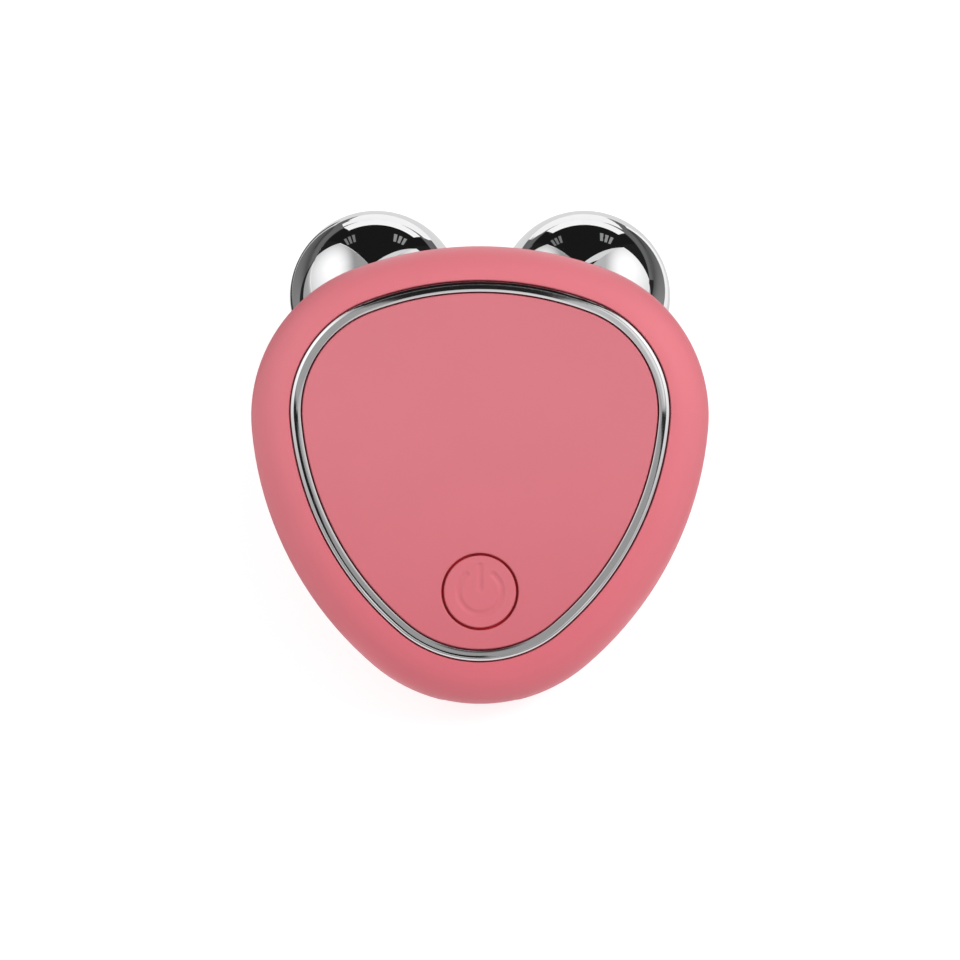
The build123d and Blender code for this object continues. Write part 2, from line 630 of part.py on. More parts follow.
def rest_tilt():
    """The panel's lean, in degrees, when the two balls and the rounded back of the tail share a floor."""
    tail_y, tail_z = -HALF_LENGTH - REAR_PROUD + BACK_ROUND, BODY_BACK + BACK_ROUND
    along, down = BALL_Y - tail_y, tail_z - BALL_Z
    return degrees(atan2(down, along) + asin((BALL_RADIUS - BACK_ROUND) / hypot(along, down)))


def assembly():
    """Every node in the panel frame, as name: solid or list of solids."""
    nodes = {
        "front_shell": front_shell(),
        "rear_shell": rear_shell(),
        "trim_ring": trim_ring(),
        "front_panel": front_panel(),
        "case_screws": case_screws(),
        "power_button": power_button(),
        "switch_plunger": switch_plunger(),
        "switch_base": switch_base(),
        "circuit_board": circuit_board(),
        "board_screws": board_screws(),
        "control_chip": chip(*CONTROL_CHIP),
        "charging_chip": chip(*CHARGING_CHIP),
        "step_up_coil": step_up_coil(),
        "board_capacitors": board_capacitors(),
        "status_leds": status_leds(),
        "charging_socket_shell": socket_shell(),
        "charging_socket_tongue": socket_tongue(),
        "battery_cell": battery_cell(),
        "battery_foam_pad": foam_pad(),
        "battery_lead_red": battery_lead(1),
        "battery_lead_black": battery_lead(-1),
    }
    roller_pieces = {
        "ball": ball(),
        "bush": bush(),
        "axle": axle(),
        "retaining_clip": retaining_clip(),
        "thrust_washer": thrust_washer(),
        "collar": collar(),
        "seal_ring": seal_ring(),
        "clamp_washer": clamp_washer(),
        "ring_terminal": ring_terminal(),
        "clamp_nut": clamp_nut(),
    }
    for name, side in SIDES.items():
        for piece, solid in roller_pieces.items():
            nodes[f"{piece}_{name}"] = on_roller(side, solid)
        nodes[f"electrode_lead_{name}"] = electrode_lead(side)
    return nodes


def at_rest(nodes):
    """The location that lays the unit on the floor Z = 0, centred over the origin."""
    turn = Rot(rest_tilt(), 0, 0)
    outside = Compound([turn * nodes[n] for n in ("front_shell", "rear_shell", "ball_left", "ball_right")])
    box = outside.bounding_box()
    return Pos(-box.center().X, -box.center().Y, -box.min.Z) * turn


def main():
    os.makedirs("parts", exist_ok=True)
    nodes = assembly()
    rest = at_rest(nodes)
    for name, shape in nodes.items():
        pieces = shape if isinstance(shape, list) else [shape]
        placed = Compound([rest * solid for piece in pieces for solid in piece.solids()])
        export_step(placed, f"parts/{name}.step")
    print("nodes", len(nodes), "body length", round(2 * HALF_LENGTH, 2), "rest tilt", round(rest_tilt(), 2))


if __name__ == "__main__":
    main()
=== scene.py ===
"""Facial toning device: finishes, modelled pieces, camera and lights round the fixed frame.

Metres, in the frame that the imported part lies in: it rests on the floor Z = 0 on its two balls
and the back of its tail. The panel frame has X across the unit, Y along it towards the balls and
Z out of the front panel, whose face is its plane Z = 0. A roller's frame has its origin at the
ball's centre and Z along the axle towards the body.
"""

import json
from math import atan2, ceil, cos, pi, radians, sin

import bmesh
import bpy
from mathutils import Matrix, Vector


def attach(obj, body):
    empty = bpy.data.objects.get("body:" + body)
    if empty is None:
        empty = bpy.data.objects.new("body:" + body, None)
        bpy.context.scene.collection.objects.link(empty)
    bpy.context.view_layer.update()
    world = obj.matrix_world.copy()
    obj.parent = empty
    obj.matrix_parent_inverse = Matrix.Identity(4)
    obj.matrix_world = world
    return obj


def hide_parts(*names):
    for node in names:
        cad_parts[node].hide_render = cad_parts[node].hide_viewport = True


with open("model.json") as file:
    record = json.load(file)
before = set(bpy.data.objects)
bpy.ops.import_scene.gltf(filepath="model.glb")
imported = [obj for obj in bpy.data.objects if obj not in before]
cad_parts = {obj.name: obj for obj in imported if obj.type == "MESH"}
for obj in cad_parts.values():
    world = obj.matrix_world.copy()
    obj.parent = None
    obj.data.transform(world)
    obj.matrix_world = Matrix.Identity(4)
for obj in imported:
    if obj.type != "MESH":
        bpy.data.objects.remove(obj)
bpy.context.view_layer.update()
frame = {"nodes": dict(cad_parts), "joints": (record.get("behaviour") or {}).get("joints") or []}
NODES = frame["nodes"]
MM = 0.001
SIDES = {"left": -1, "right": 1}

# ---------------------------------------------------------------- places worked out from the frame

BALL_RADIUS = 9.999 * MM
BALL_IN_PANEL = Vector((12.1, 20.75, -29.5)) * MM
JOINTS = {joint["name"]: joint for joint in frame["joints"]}


def roller_place(side):
    joint = JOINTS[f"roller_{side}_spin"]
    turn = Vector(joint["axis"]).to_track_quat("Z", "Y").to_matrix().to_4x4()
    return Matrix.Translation(joint["pos_m"]) @ turn


def panel_place():
    """The panel leans about X, and the power button goes straight down into it."""
    inwards = Vector(JOINTS["power_button_press"]["axis"])
    lean = Matrix.Rotation(atan2(inwards.y, -inwards.z), 4, "X")
    return Matrix.Translation(ROLLER["right"].translation - lean @ BALL_IN_PANEL) @ lean


ROLLER = {side: roller_place(side) for side in SIDES}
PANEL = panel_place()

# ---------------------------------------------------------------- sizes of the modelled pieces

# Body outline: four tangent arcs a side, from the head's middle round to the tail's middle.
HEAD_RADIUS, HEAD_TURN = 40.9 * MM, radians(20.8)
SHOULDER_RADIUS, SHOULDER_TURN = 17.65 * MM, radians(74.3)
FLANK_RADIUS, FLANK_TURN = 39.7 * MM, radians(44.6)
OUTLINE_STEP = radians(1.5)

TRIM_RISE = 0.44 * MM
TRIM_FOOT = -1.6 * MM
TRIM_OUTER, TRIM_INNER = 4.53 * MM, 5.66 * MM
# The band's section: each corner's inset from the outline, its height, and how much it is rounded.
TRIM_CORNERS = (
    (TRIM_OUTER, 0.04 * MM, 0.06 * MM),
    (4.69 * MM, 0.19 * MM, 0.1 * MM),
    (4.87 * MM, 0.31 * MM, 0.03 * MM),
    (5.26 * MM, 0.27 * MM, 0.34 * MM),
    (TRIM_INNER, 0.11 * MM, 0.05 * MM),
)
TRIM_SEGMENTS = 6

BALL_ARC_STEPS, BALL_TURN_STEPS = 72, 144
BALL_MOUTH = 9.3 * MM
BALL_BORE_RADIUS, BALL_BORE_END = 2.8 * MM, -3.9 * MM
MOUTH_ROUND, MOUTH_SEGMENTS = 0.35 * MM, 5

BUTTON_Y = -13.15 * MM
BUTTON_RADIUS, BUTTON_TOP, BUTTON_ROUND = 4.08 * MM, -0.05 * MM, 0.22 * MM
BUTTON_DISH = 0.2 * MM
FLANGE_RADIUS, FLANGE_TOP, FLANGE_BOTTOM = 4.9 * MM, -0.97 * MM, -1.57 * MM
STEM_RADIUS, STEM_BOTTOM = 1.6 * MM, -2.95 * MM
BUTTON_RINGS, BUTTON_ROUND_STEPS, BUTTON_TURN_STEPS = 64, 8, 216
SYMBOL_RADIUS, SYMBOL_HALF_STROKE, SYMBOL_DEPTH = 2.45 * MM, 0.26 * MM, 0.17 * MM
SYMBOL_GAP, SYMBOL_BAR = radians(38.0), (0.4 * MM, 2.9 * MM)
SYMBOL_SOFTNESS = 0.42 * MM

# ---------------------------------------------------------------- camera

IMAGE_SIDE = 960
SENSOR = 36.0
CAMERA_DISTANCE = 1.0
PIXELS_PER_METRE = 8860.0
BODY_CENTRE_PX = (479.95, 475.2)


def make_camera():
    """Looks square on to the front panel, whose middle is at a given place in the picture."""
    across, down = ((p - IMAGE_SIDE / 2) / PIXELS_PER_METRE for p in BODY_CENTRE_PX)
    data = bpy.data.cameras.new("camera")
    data.lens = PIXELS_PER_METRE * CAMERA_DISTANCE * SENSOR / IMAGE_SIDE
    data.sensor_width = SENSOR
    camera = bpy.data.objects.new("camera", data)
    camera.matrix_world = PANEL @ Matrix.Translation((-across, down, CAMERA_DISTANCE))
    bpy.context.scene.collection.objects.link(camera)
    bpy.context.scene.camera = camera


# ---------------------------------------------------------------- node helpers


def put(tree, kind, inputs=(), **settings):
    """A new shader node. An input is given a value, or another node's output to link from."""
    made = tree.nodes.new("ShaderNode" + kind)
    for name, value in settings.items():
        setattr(made, name, value)
    for name, value in dict(inputs).items():
        if isinstance(value, bpy.types.NodeSocket):
            tree.links.new(value, made.inputs[name])
        else:
            made.inputs[name].default_value = value
    return made


def maths(tree, operation, first, second=0.0, third=0.0):
    inputs = {0: first, 1: second, 2: third}
    return put(tree, "Math", inputs, operation=operation).outputs[0]


def between(tree, value, low, high):
    """Maps 0 to 1 onto low to high."""
    return put(tree, "MapRange", {"Value": value, "To Min": low, "To Max": high}).outputs[0]


def ramp(tree, value, low, high):
    """Maps low to high onto 0 to 1, smoothly and clamped."""
    made = put(tree, "MapRange", {"Value": value, "From Min": low, "From Max": high})
    made.interpolation_type = "SMOOTHSTEP"
    return made.outputs[0]


def noise(tree, vector, scale, **inputs):
    """Clouds, 0 to 1."""
    return put(tree, "TexNoise", {"Vector": vector, "Scale": scale, **inputs}).outputs["Fac"]


def xyz(tree, vector):
    return put(tree, "SeparateXYZ", {"Vector": vector}).outputs


def blend_colours(tree, share, first, second, kind="MIX"):
    inputs = {"Factor": share, 6: first, 7: second}
    return put(tree, "Mix", inputs, data_type="RGBA", blend_type=kind).outputs[2]


def shade(colour, factor):
    return tuple(min(1.0, channel * factor) for channel in colour[:3]) + (1.0,)


def new_group(name, inputs, outputs):
    """A node group with number or vector inputs. Returns the group and its two end nodes."""
    tree = bpy.data.node_groups.new(name, "ShaderNodeTree")
    for label, default in inputs.items():
        kind = "NodeSocketVector" if default is None else "NodeSocketFloat"
        socket = tree.interface.new_socket(label, in_out="INPUT", socket_type=kind)
        if default is not None:
            socket.default_value = default
    for label in outputs:
        tree.interface.new_socket(label, in_out="OUTPUT", socket_type="NodeSocketFloat")
    return tree, tree.nodes.new("NodeGroupInput"), tree.nodes.new("NodeGroupOutput")


def make_moulded_grain():
    """Moulded plastic's skin: a fine orange peel and a slow drift of tone."""
    inputs = {"Vector": None, "Scale": 5000.0}
    tree, start, end = new_group("moulded_grain", inputs, ("Height", "Tone"))
    vector, scale = start.outputs[:2]
    tree.links.new(noise(tree, vector, scale, Detail=2.0, Roughness=0.6), end.inputs["Height"])
    tree.links.new(noise(tree, vector, 90.0, Detail=3.0, Roughness=0.5), end.inputs["Tone"])
    return tree


HAIRLINE_TURNS = (0.3, 0.9, 0.2), (1.4, 0.1, 1.1)


def make_handling_marks():
    """What handling leaves on a polished surface: faint smears and sparse hairlines."""
    inputs = {"Vector": None, "Smear Scale": 220.0, "Line Scale": 900.0}
    tree, start, end = new_group("handling_marks", inputs, ("Smear", "Lines"))
    vector, smear_scale, line_scale = start.outputs[:3]
    smear = noise(tree, vector, smear_scale, Detail=4.0, Distortion=1.2)
    tree.links.new(ramp(tree, smear, 0.45, 0.75), end.inputs["Smear"])
    lines = []
    for turn in HAIRLINE_TURNS:
        stretch = {"Vector": vector, "Rotation": turn, "Scale": (1.0, 0.04, 0.04)}
        streaks = noise(tree, put(tree, "Mapping", stretch).outputs[0], line_scale, Detail=2.0)
        lines.append(ramp(tree, streaks, 0.66, 0.74))
    tree.links.new(maths(tree, "MAXIMUM", *lines), end.inputs["Lines"])
    return tree


def make_turned_lines():
    """The fine rings that a lathe leaves round a piece's own Z."""
    inputs = {"Vector": None, "Lines per metre": 16000.0}
    tree, start, end = new_group("turned_lines", inputs, ("Height",))
    vector, pitch = start.outputs[:2]
    parts = xyz(tree, vector)
    flat = put(tree, "CombineXYZ", {"X": parts["X"], "Y": parts["Y"]})
    radius = put(tree, "VectorMath", {0: flat.outputs[0]}, operation="LENGTH").outputs["Value"]
    along = maths(tree, "MULTIPLY", maths(tree, "ADD", parts["Z"], radius), pitch)
    inputs = {"W": along, "Scale": 1.0, "Detail": 2.0}
    rings = put(tree, "TexNoise", inputs, noise_dimensions="1D")
    tree.links.new(rings.outputs["Fac"], end.inputs["Height"])
    return tree


GROUPS = {
    made.name: made for made in (make_moulded_grain(), make_handling_marks(), make_turned_lines())
}


def use_group(tree, name, **inputs):
    made = tree.nodes.new("ShaderNodeGroup")
    made.node_tree = GROUPS[name]
    for label, value in inputs.items():
        socket = made.inputs[label.replace("_", " ")]
        if isinstance(value, bpy.types.NodeSocket):
            tree.links.new(value, socket)
        else:
            socket.default_value = value
    return made.outputs


def vector_in(tree, place):
    """Object coordinates as seen from a place: the panel's frame or a roller's."""
    settings = {
        "Vector": put(tree, "TexCoord").outputs["Object"],
        "Location": place.translation,
        "Rotation": place.to_euler(),
    }
    return put(tree, "Mapping", settings, vector_type="TEXTURE").outputs[0]


def new_material(name, **shader_values):
    """A material with a Principled shader, whose sockets get these plain values."""
    material = bpy.data.materials.new(name)
    material.use_nodes = True
    shader = material.node_tree.nodes["Principled BSDF"]
    for label, value in shader_values.items():
        shader.inputs[label.replace("_", " ")].default_value = value
    return material, material.node_tree, shader


def feed(tree, shader, **sockets):
    """Links varying colours and values to the shader, and heights through a Bump node."""
    for label, value in sockets.items():
        if label == "bump":
            height, depth = value
            bump = put(tree, "Bump", {"Height": height, "Distance": depth, "Strength": 1.0})
            tree.links.new(bump.outputs[0], shader.inputs["Normal"])
        else:
            tree.links.new(value, shader.inputs[label.replace("_", " ")])


# ---------------------------------------------------------------- colours

PINK_SHELL = (0.715, 0.178, 0.214, 1)
PINK_PANEL = (0.665, 0.180, 0.214, 1)
PINK_BUTTON = (0.686, 0.184, 0.219, 1)
# Painted shade: towards the tail the pink is painted a little darker and deeper.
TAIL_PAINTED_SHADE = (0.945, 0.80, 0.83, 1)
TAIL_SHADE_START, TAIL_SHADE_END = 10 * MM, -27 * MM
# Painted shade: deep down in the gap round the panel and round the button the pink is painted a
# dark red, for the shade there and the light bounced from pink to pink.
GAP_PAINTED_SHADE = (0.68, 0.015, 0.03, 1)
GAP_SHADE_START, GAP_SHADE_END = -0.46 * MM, -0.7 * MM

CHROME = (0.90, 0.90, 0.91, 1)
STEEL = (0.56, 0.56, 0.57, 1)
SPRING_STEEL = (0.3, 0.29, 0.28, 1)
BRASS = (0.76, 0.55, 0.24, 1)
BRONZE, OILY_PORE = (0.62, 0.36, 0.16, 1), (0.12, 0.06, 0.03, 1)
SOCKET_TIN = (0.68, 0.68, 0.69, 1)
PIN_TIN = (0.66, 0.66, 0.65, 1)
CAPACITOR_TIN = (0.62, 0.62, 0.6, 1)
PAD_TIN = (0.68, 0.66, 0.62, 1)
CONTACT_GOLD = (0.83, 0.56, 0.2, 1)
ENAMELLED_COPPER = (0.46, 0.17, 0.06, 1)
BOARD_GREEN, TRACK_GREEN = (0.008, 0.085, 0.035, 1), (0.02, 0.16, 0.06, 1)
# The darkest and the palest of a mottled tone.
CHIP_BLACKS = (0.012, 0.012, 0.013, 1), (0.022, 0.022, 0.024, 1)
TONGUE_BLACKS = (0.014, 0.014, 0.015, 1), (0.024, 0.024, 0.026, 1)
FERRITE_GREYS = (0.018, 0.018, 0.02, 1), (0.05, 0.05, 0.052, 1)
CERAMIC_TANS = (0.32, 0.2, 0.11, 1), (0.42, 0.27, 0.15, 1)
FOIL_GREYS = (0.5, 0.51, 0.53, 1), (0.74, 0.75, 0.77, 1)
FOAM_GREYS = (0.055, 0.055, 0.06, 1), (0.2, 0.2, 0.21, 1)
LENS_WHITES = (0.72, 0.74, 0.74, 1), (0.86, 0.87, 0.85, 1)
SWITCH_IVORY, SWITCH_BLACK = (0.62, 0.57, 0.47, 1), (0.02, 0.02, 0.022, 1)
LEAD_RED, LEAD_WHITE = (0.5, 0.02, 0.02, 1), (0.7, 0.7, 0.68, 1)
RUBBER_BLACK = (0.02, 0.02, 0.02, 1)
NYLON_WHITE = (0.72, 0.7, 0.64, 1)

# ---------------------------------------------------------------- finishes


def silk_plastic(name, colour, gap_shade=False):
    """Soft-touch moulded plastic: an even tone with painted shade, darker towards the tail and, for
    the panel and the button, dark red deep in the gap; a silky sheen and a skin too fine to see.
    """
    material, tree, shader = new_material(
        name, Subsurface_Weight=0.05, Subsurface_Scale=0.0006, Sheen_Weight=0.06,
        Sheen_Roughness=0.35, Specular_IOR_Level=0.4,
    )
    vector = vector_in(tree, PANEL)
    grain = use_group(tree, "moulded_grain", Vector=vector, Scale=6000.0)
    marks = use_group(tree, "handling_marks", Vector=vector, Smear_Scale=160.0, Line_Scale=500.0)
    tone = blend_colours(tree, grain["Tone"], shade(colour, 0.965), shade(colour, 1.035))
    parts = xyz(tree, vector)
    # painted shade: the pink is painted darker towards the tail
    tail_shade_share = ramp(tree, parts["Y"], TAIL_SHADE_START, TAIL_SHADE_END)
    tone = blend_colours(tree, tail_shade_share, tone, TAIL_PAINTED_SHADE, "MULTIPLY")
    # painted shade: deep in the gap round the panel and the button the pink is painted dark red
    if gap_shade:
        tone = blend_colours(tree, ramp(tree, parts["Z"], GAP_SHADE_START, GAP_SHADE_END), tone, GAP_PAINTED_SHADE)
    gloss = between(tree, marks["Smear"], 0.44, 0.39)
    feed(tree, shader, Base_Color=tone, Roughness=gloss, bump=(grain["Height"], 0.006 * MM))
    return material


def polished_chrome(name, place, roughness=(0.02, 0.06)):
    """Mirror plating, with smears and hairlines that only a close look shows."""
    material, tree, shader = new_material(name, Metallic=1.0)
    marks = use_group(tree, "handling_marks", Vector=vector_in(tree, place))
    tone = blend_colours(tree, marks["Smear"], CHROME, shade(CHROME, 0.97))
    gloss = between(tree, maths(tree, "MAXIMUM", marks["Smear"], marks["Lines"]), *roughness)
    feed(tree, shader, Base_Color=tone, Roughness=gloss, bump=(marks["Lines"], -0.0006 * MM))
    return material


def turned_metal(name, place, colour, roughness=(0.22, 0.36)):
    """Metal straight off the lathe, with its fine rings round the piece's axis."""
    material, tree, shader = new_material(name, Metallic=1.0)
    vector = vector_in(tree, place)
    rings = use_group(tree, "turned_lines", Vector=vector)["Height"]
    marks = use_group(tree, "handling_marks", Vector=vector, Smear_Scale=700.0, Line_Scale=3000.0)
    tone = blend_colours(tree, marks["Smear"], colour, shade(colour, 0.86))
    gloss = between(tree, rings, *roughness)
    feed(tree, shader, Base_Color=tone, Roughness=gloss, bump=(rings, 0.004 * MM))
    return material


def pressed_metal(name, place, colour, roughness=(0.25, 0.4)):
    """Sheet metal from a press: rolled smooth, with stains and scuffs."""
    material, tree, shader = new_material(name, Metallic=1.0)
    vector = vector_in(tree, place)
    marks = use_group(tree, "handling_marks", Vector=vector, Smear_Scale=500.0, Line_Scale=2500.0)
    tone = blend_colours(tree, marks["Smear"], colour, shade(colour, 0.82))
    gloss = between(tree, marks["Smear"], *roughness)
    feed(tree, shader, Base_Color=tone, Roughness=gloss, bump=(marks["Lines"], -0.002 * MM))
    return material


def moulded_part(name, place, colour, roughness=0.45):
    """Plain technical plastic, rubber or lacquer, with its own grain and a slow drift of tone."""
    material, tree, shader = new_material(name)
    grain = use_group(tree, "moulded_grain", Vector=vector_in(tree, place), Scale=7000.0)
    tone = blend_colours(tree, grain["Tone"], shade(colour, 0.88), shade(colour, 1.12))
    gloss = between(tree, grain["Height"], roughness * 0.9, roughness * 1.15)
    feed(tree, shader, Base_Color=tone, Roughness=gloss, bump=(grain["Height"], 0.01 * MM))
    return material


def porous_bronze(place):
    """Sintered bush bronze, with dark pores that hold its oil."""
    material, tree, shader = new_material("porous_bronze", Metallic=1.0)
    pores = put(tree, "TexVoronoi", {"Vector": vector_in(tree, place), "Scale": 5200.0})
    open_pore = ramp(tree, pores.outputs["Distance"], 0.34, 0.18)
    tone = blend_colours(tree, open_pore, BRONZE, OILY_PORE)
    gloss = between(tree, open_pore, 0.32, 0.7)
    feed(tree, shader, Base_Color=tone, Roughness=gloss, bump=(open_pore, -0.01 * MM))
    return material


BOARD_TRACK_PITCH = 1.6 * MM
BOARD_TRACK_HALF = 0.16 * MM


def board_lacquer():
    """Green solder mask over copper tracks, with round plated pads where tracks end."""
    material, tree, shader = new_material("board_lacquer", Coat_Weight=0.4, Coat_Roughness=0.1)
    vector = vector_in(tree, PANEL)
    wander = ramp(tree, noise(tree, vector, 140.0, Detail=0.0), 0.42, 0.58)
    bent = maths(tree, "ADD", xyz(tree, vector)["X"], between(tree, wander, 0.0, BOARD_TRACK_PITCH))
    across = maths(tree, "PINGPONG", bent, BOARD_TRACK_PITCH / 2)
    track = ramp(tree, across, BOARD_TRACK_HALF * 1.3, BOARD_TRACK_HALF)
    dots = put(tree, "TexVoronoi", {"Vector": vector, "Scale": 420.0, "Randomness": 0.5})
    pad = ramp(tree, dots.outputs["Distance"], 0.2, 0.16)
    green = blend_colours(tree, track, BOARD_GREEN, TRACK_GREEN)
    feed(
        tree, shader, Base_Color=blend_colours(tree, pad, green, PAD_TIN), Metallic=pad,
        Roughness=between(tree, pad, 0.35, 0.25),
        bump=(maths(tree, "MAXIMUM", track, pad), 0.03 * MM),
    )
    return material


CHIP_CENTRE_X = -6.0 * MM
CONTROL_CHIP_HALF, CHARGING_CHIP_HALF = 1.95 * MM, 1.3 * MM
CONTROL_CHIP_LOW_Y = 0.0
PIN_CLEARANCE = 0.01 * MM


def chip_pin_mask(tree, vector):
    """1 on what stands out sideways from either chip's body."""
    parts = xyz(tree, vector)
    off = maths(tree, "ABSOLUTE", maths(tree, "SUBTRACT", parts["X"], CHIP_CENTRE_X))
    at_control = maths(tree, "GREATER_THAN", parts["Y"], CONTROL_CHIP_LOW_Y)
    half = between(tree, at_control, CHARGING_CHIP_HALF, CONTROL_CHIP_HALF)
    return maths(tree, "GREATER_THAN", off, maths(tree, "ADD", half, PIN_CLEARANCE))


def chip_package():
    """Matt black moulding compound, with tinned pins at the sides."""
    material, tree, shader = new_material("chip_package")
    vector = vector_in(tree, PANEL)
    grain = use_group(tree, "moulded_grain", Vector=vector, Scale=9000.0)
    pins = chip_pin_mask(tree, vector)
    tone = blend_colours(tree, pins, blend_colours(tree, grain["Tone"], *CHIP_BLACKS), PIN_TIN)
    feed(
        tree, shader, Base_Color=tone, Metallic=pins, Roughness=between(tree, pins, 0.62, 0.3),
        bump=(grain["Height"], 0.01 * MM),
    )
    return material


UPPER_FLANGE_Z, LOWER_FLANGE_Z = -6.2 * MM, -7.8 * MM
COIL_WIRE = 0.06 * MM


def coil_finish():
    """Dark ferrite flanges with enamelled copper wound between them."""
    material, tree, shader = new_material("coil_finish")
    vector = vector_in(tree, PANEL)
    height = xyz(tree, vector)["Z"]
    under_upper = maths(tree, "LESS_THAN", height, UPPER_FLANGE_Z)
    over_lower = maths(tree, "GREATER_THAN", height, LOWER_FLANGE_Z)
    wound = maths(tree, "MULTIPLY", under_upper, over_lower)
    turns = maths(tree, "MULTIPLY", wound, maths(tree, "PINGPONG", height, COIL_WIRE))
    grain = use_group(tree, "moulded_grain", Vector=vector, Scale=4000.0)
    ferrite = blend_colours(tree, grain["Height"], *FERRITE_GREYS)
    tone = blend_colours(tree, wound, ferrite, ENAMELLED_COPPER)
    gloss = between(tree, wound, 0.75, 0.3)
    feed(tree, shader, Base_Color=tone, Metallic=wound, Roughness=gloss, bump=(turns, 1.0))
    return material


CAPACITOR_ROWS_X = (4.2 * MM, 9.2 * MM)
CAPACITOR_BODY_HALF = 0.45 * MM


def capacitor_finish():
    """Tan ceramic with tinned ends."""
    material, tree, shader = new_material("capacitor_finish")
    vector = vector_in(tree, PANEL)
    across = xyz(tree, vector)["X"]
    offsets = [maths(tree, "SUBTRACT", across, row) for row in CAPACITOR_ROWS_X]
    nearest = maths(tree, "MINIMUM", *(maths(tree, "ABSOLUTE", offset) for offset in offsets))
    ends = maths(tree, "GREATER_THAN", nearest, CAPACITOR_BODY_HALF)
    grain = use_group(tree, "moulded_grain", Vector=vector, Scale=8000.0)
    tan = blend_colours(tree, grain["Height"], *CERAMIC_TANS)
    tone = blend_colours(tree, ends, tan, CAPACITOR_TIN)
    feed(
        tree, shader, Base_Color=tone, Metallic=ends, Roughness=between(tree, ends, 0.5, 0.32),
        bump=(grain["Height"], 0.008 * MM),
    )
    return material


CONTACT_PITCH = 0.5 * MM
CONTACT_HALF = 0.13 * MM


def tongue_finish():
    """The socket's black insulator with a row of gold contacts along it."""
    material, tree, shader = new_material("tongue_finish")
    vector = vector_in(tree, PANEL)
    centred = maths(tree, "ADD", xyz(tree, vector)["X"], CONTACT_PITCH / 2)
    off_contact = maths(tree, "PINGPONG", centred, CONTACT_PITCH / 2)
    gold = ramp(tree, off_contact, CONTACT_HALF * 1.2, CONTACT_HALF)
    grain = use_group(tree, "moulded_grain", Vector=vector, Scale=9000.0)
    black = blend_colours(tree, grain["Tone"], *TONGUE_BLACKS)
    tone = blend_colours(tree, gold, black, CONTACT_GOLD)
    gloss = between(tree, gold, 0.5, 0.22)
    feed(tree, shader, Base_Color=tone, Metallic=gold, Roughness=gloss, bump=(gold, 0.02 * MM))
    return material


def cell_foil():
    """The pouch cell's aluminium laminate, with soft creases."""
    material, tree, shader = new_material("cell_foil", Metallic=1.0)
    creases = noise(tree, vector_in(tree, PANEL), 260.0, Detail=5.0, Distortion=0.8)
    tone = blend_colours(tree, creases, *FOIL_GREYS)
    gloss = between(tree, creases, 0.42, 0.26)
    feed(tree, shader, Base_Color=tone, Roughness=gloss, bump=(creases, 0.12 * MM))
    return material


def foam_finish():
    """Open-celled grey foam."""
    material, tree, shader = new_material("foam_finish")
    inputs = {"Vector": vector_in(tree, PANEL), "Scale": 2600.0}
    cells = put(tree, "TexVoronoi", inputs, feature="DISTANCE_TO_EDGE")
    wall = ramp(tree, cells.outputs["Distance"], 0.12, 0.02)
    tone = blend_colours(tree, wall, *FOAM_GREYS)
    gloss = between(tree, wall, 0.95, 0.8)
    feed(tree, shader, Base_Color=tone, Roughness=gloss, bump=(wall, 0.08 * MM))
    return material


def lens_finish():
    """The status lights' milky lens."""
    material, tree, shader = new_material("lens_finish", Transmission_Weight=0.35, IOR=1.5)
    grain = use_group(tree, "moulded_grain", Vector=vector_in(tree, PANEL), Scale=9000.0)
    tone = blend_colours(tree, grain["Tone"], *LENS_WHITES)
    feed(tree, shader, Base_Color=tone, Roughness=between(tree, grain["Height"], 0.2, 0.34))
    return material


def dress(material, *nodes):
    """Gives a finish to CAD nodes whose shape stays as it is."""
    for node in nodes:
        mesh = NODES[node].data
        mesh.materials.clear()
        mesh.materials.append(material)


def dress_casing():
    dress(silk_plastic("pink_casing", PINK_SHELL), "front_shell", "rear_shell")
    dress(silk_plastic("pink_panel", PINK_PANEL, gap_shade=True), "front_panel")
    dress(pressed_metal("socket_tin", PANEL, SOCKET_TIN), "charging_socket_shell")
    dress(tongue_finish(), "charging_socket_tongue")


def dress_inside():
    dress(turned_metal("screw_steel", PANEL, STEEL), "case_screws", "board_screws")
    dress(moulded_part("switch_ivory", PANEL, SWITCH_IVORY), "switch_plunger")
    dress(moulded_part("switch_black", PANEL, SWITCH_BLACK), "switch_base")
    dress(board_lacquer(), "circuit_board")
    dress(chip_package(), "control_chip", "charging_chip")
    dress(coil_finish(), "step_up_coil")
    dress(capacitor_finish(), "board_capacitors")
    dress(lens_finish(), "status_leds")
    dress(cell_foil(), "battery_cell")
    dress(foam_finish(), "battery_foam_pad")
    dress(moulded_part("lead_red", PANEL, LEAD_RED, 0.35), "battery_lead_red")
    dress(moulded_part("lead_black", PANEL, RUBBER_BLACK, 0.35), "battery_lead_black")
    white_lead = moulded_part("lead_white", PANEL, LEAD_WHITE, 0.35)
    dress(white_lead, "electrode_lead_left", "electrode_lead_right")


def dress_roller(side):
    place = ROLLER[side]
    dress(porous_bronze(place), f"bush_{side}")
    dress(turned_metal(f"axle_steel_{side}", place, STEEL), f"axle_{side}")
    dress(pressed_metal(f"spring_steel_{side}", place, SPRING_STEEL), f"retaining_clip_{side}")
    dress(moulded_part(f"washer_nylon_{side}", place, NYLON_WHITE, 0.4), f"thrust_washer_{side}")
    dress(polished_chrome(f"collar_chrome_{side}", place, (0.05, 0.12)), f"collar_{side}")
    dress(moulded_part(f"seal_rubber_{side}", place, RUBBER_BLACK, 0.7), f"seal_ring_{side}")
    washer_steel = turned_metal(f"washer_steel_{side}", place, STEEL)
    dress(washer_steel, f"clamp_washer_{side}", f"clamp_nut_{side}")
    dress(pressed_metal(f"terminal_brass_{side}", place, BRASS), f"ring_terminal_{side}")


# ---------------------------------------------------------------- modelled pieces

SHARP_ANGLE = radians(40)
MERGE = 0.001 * MM


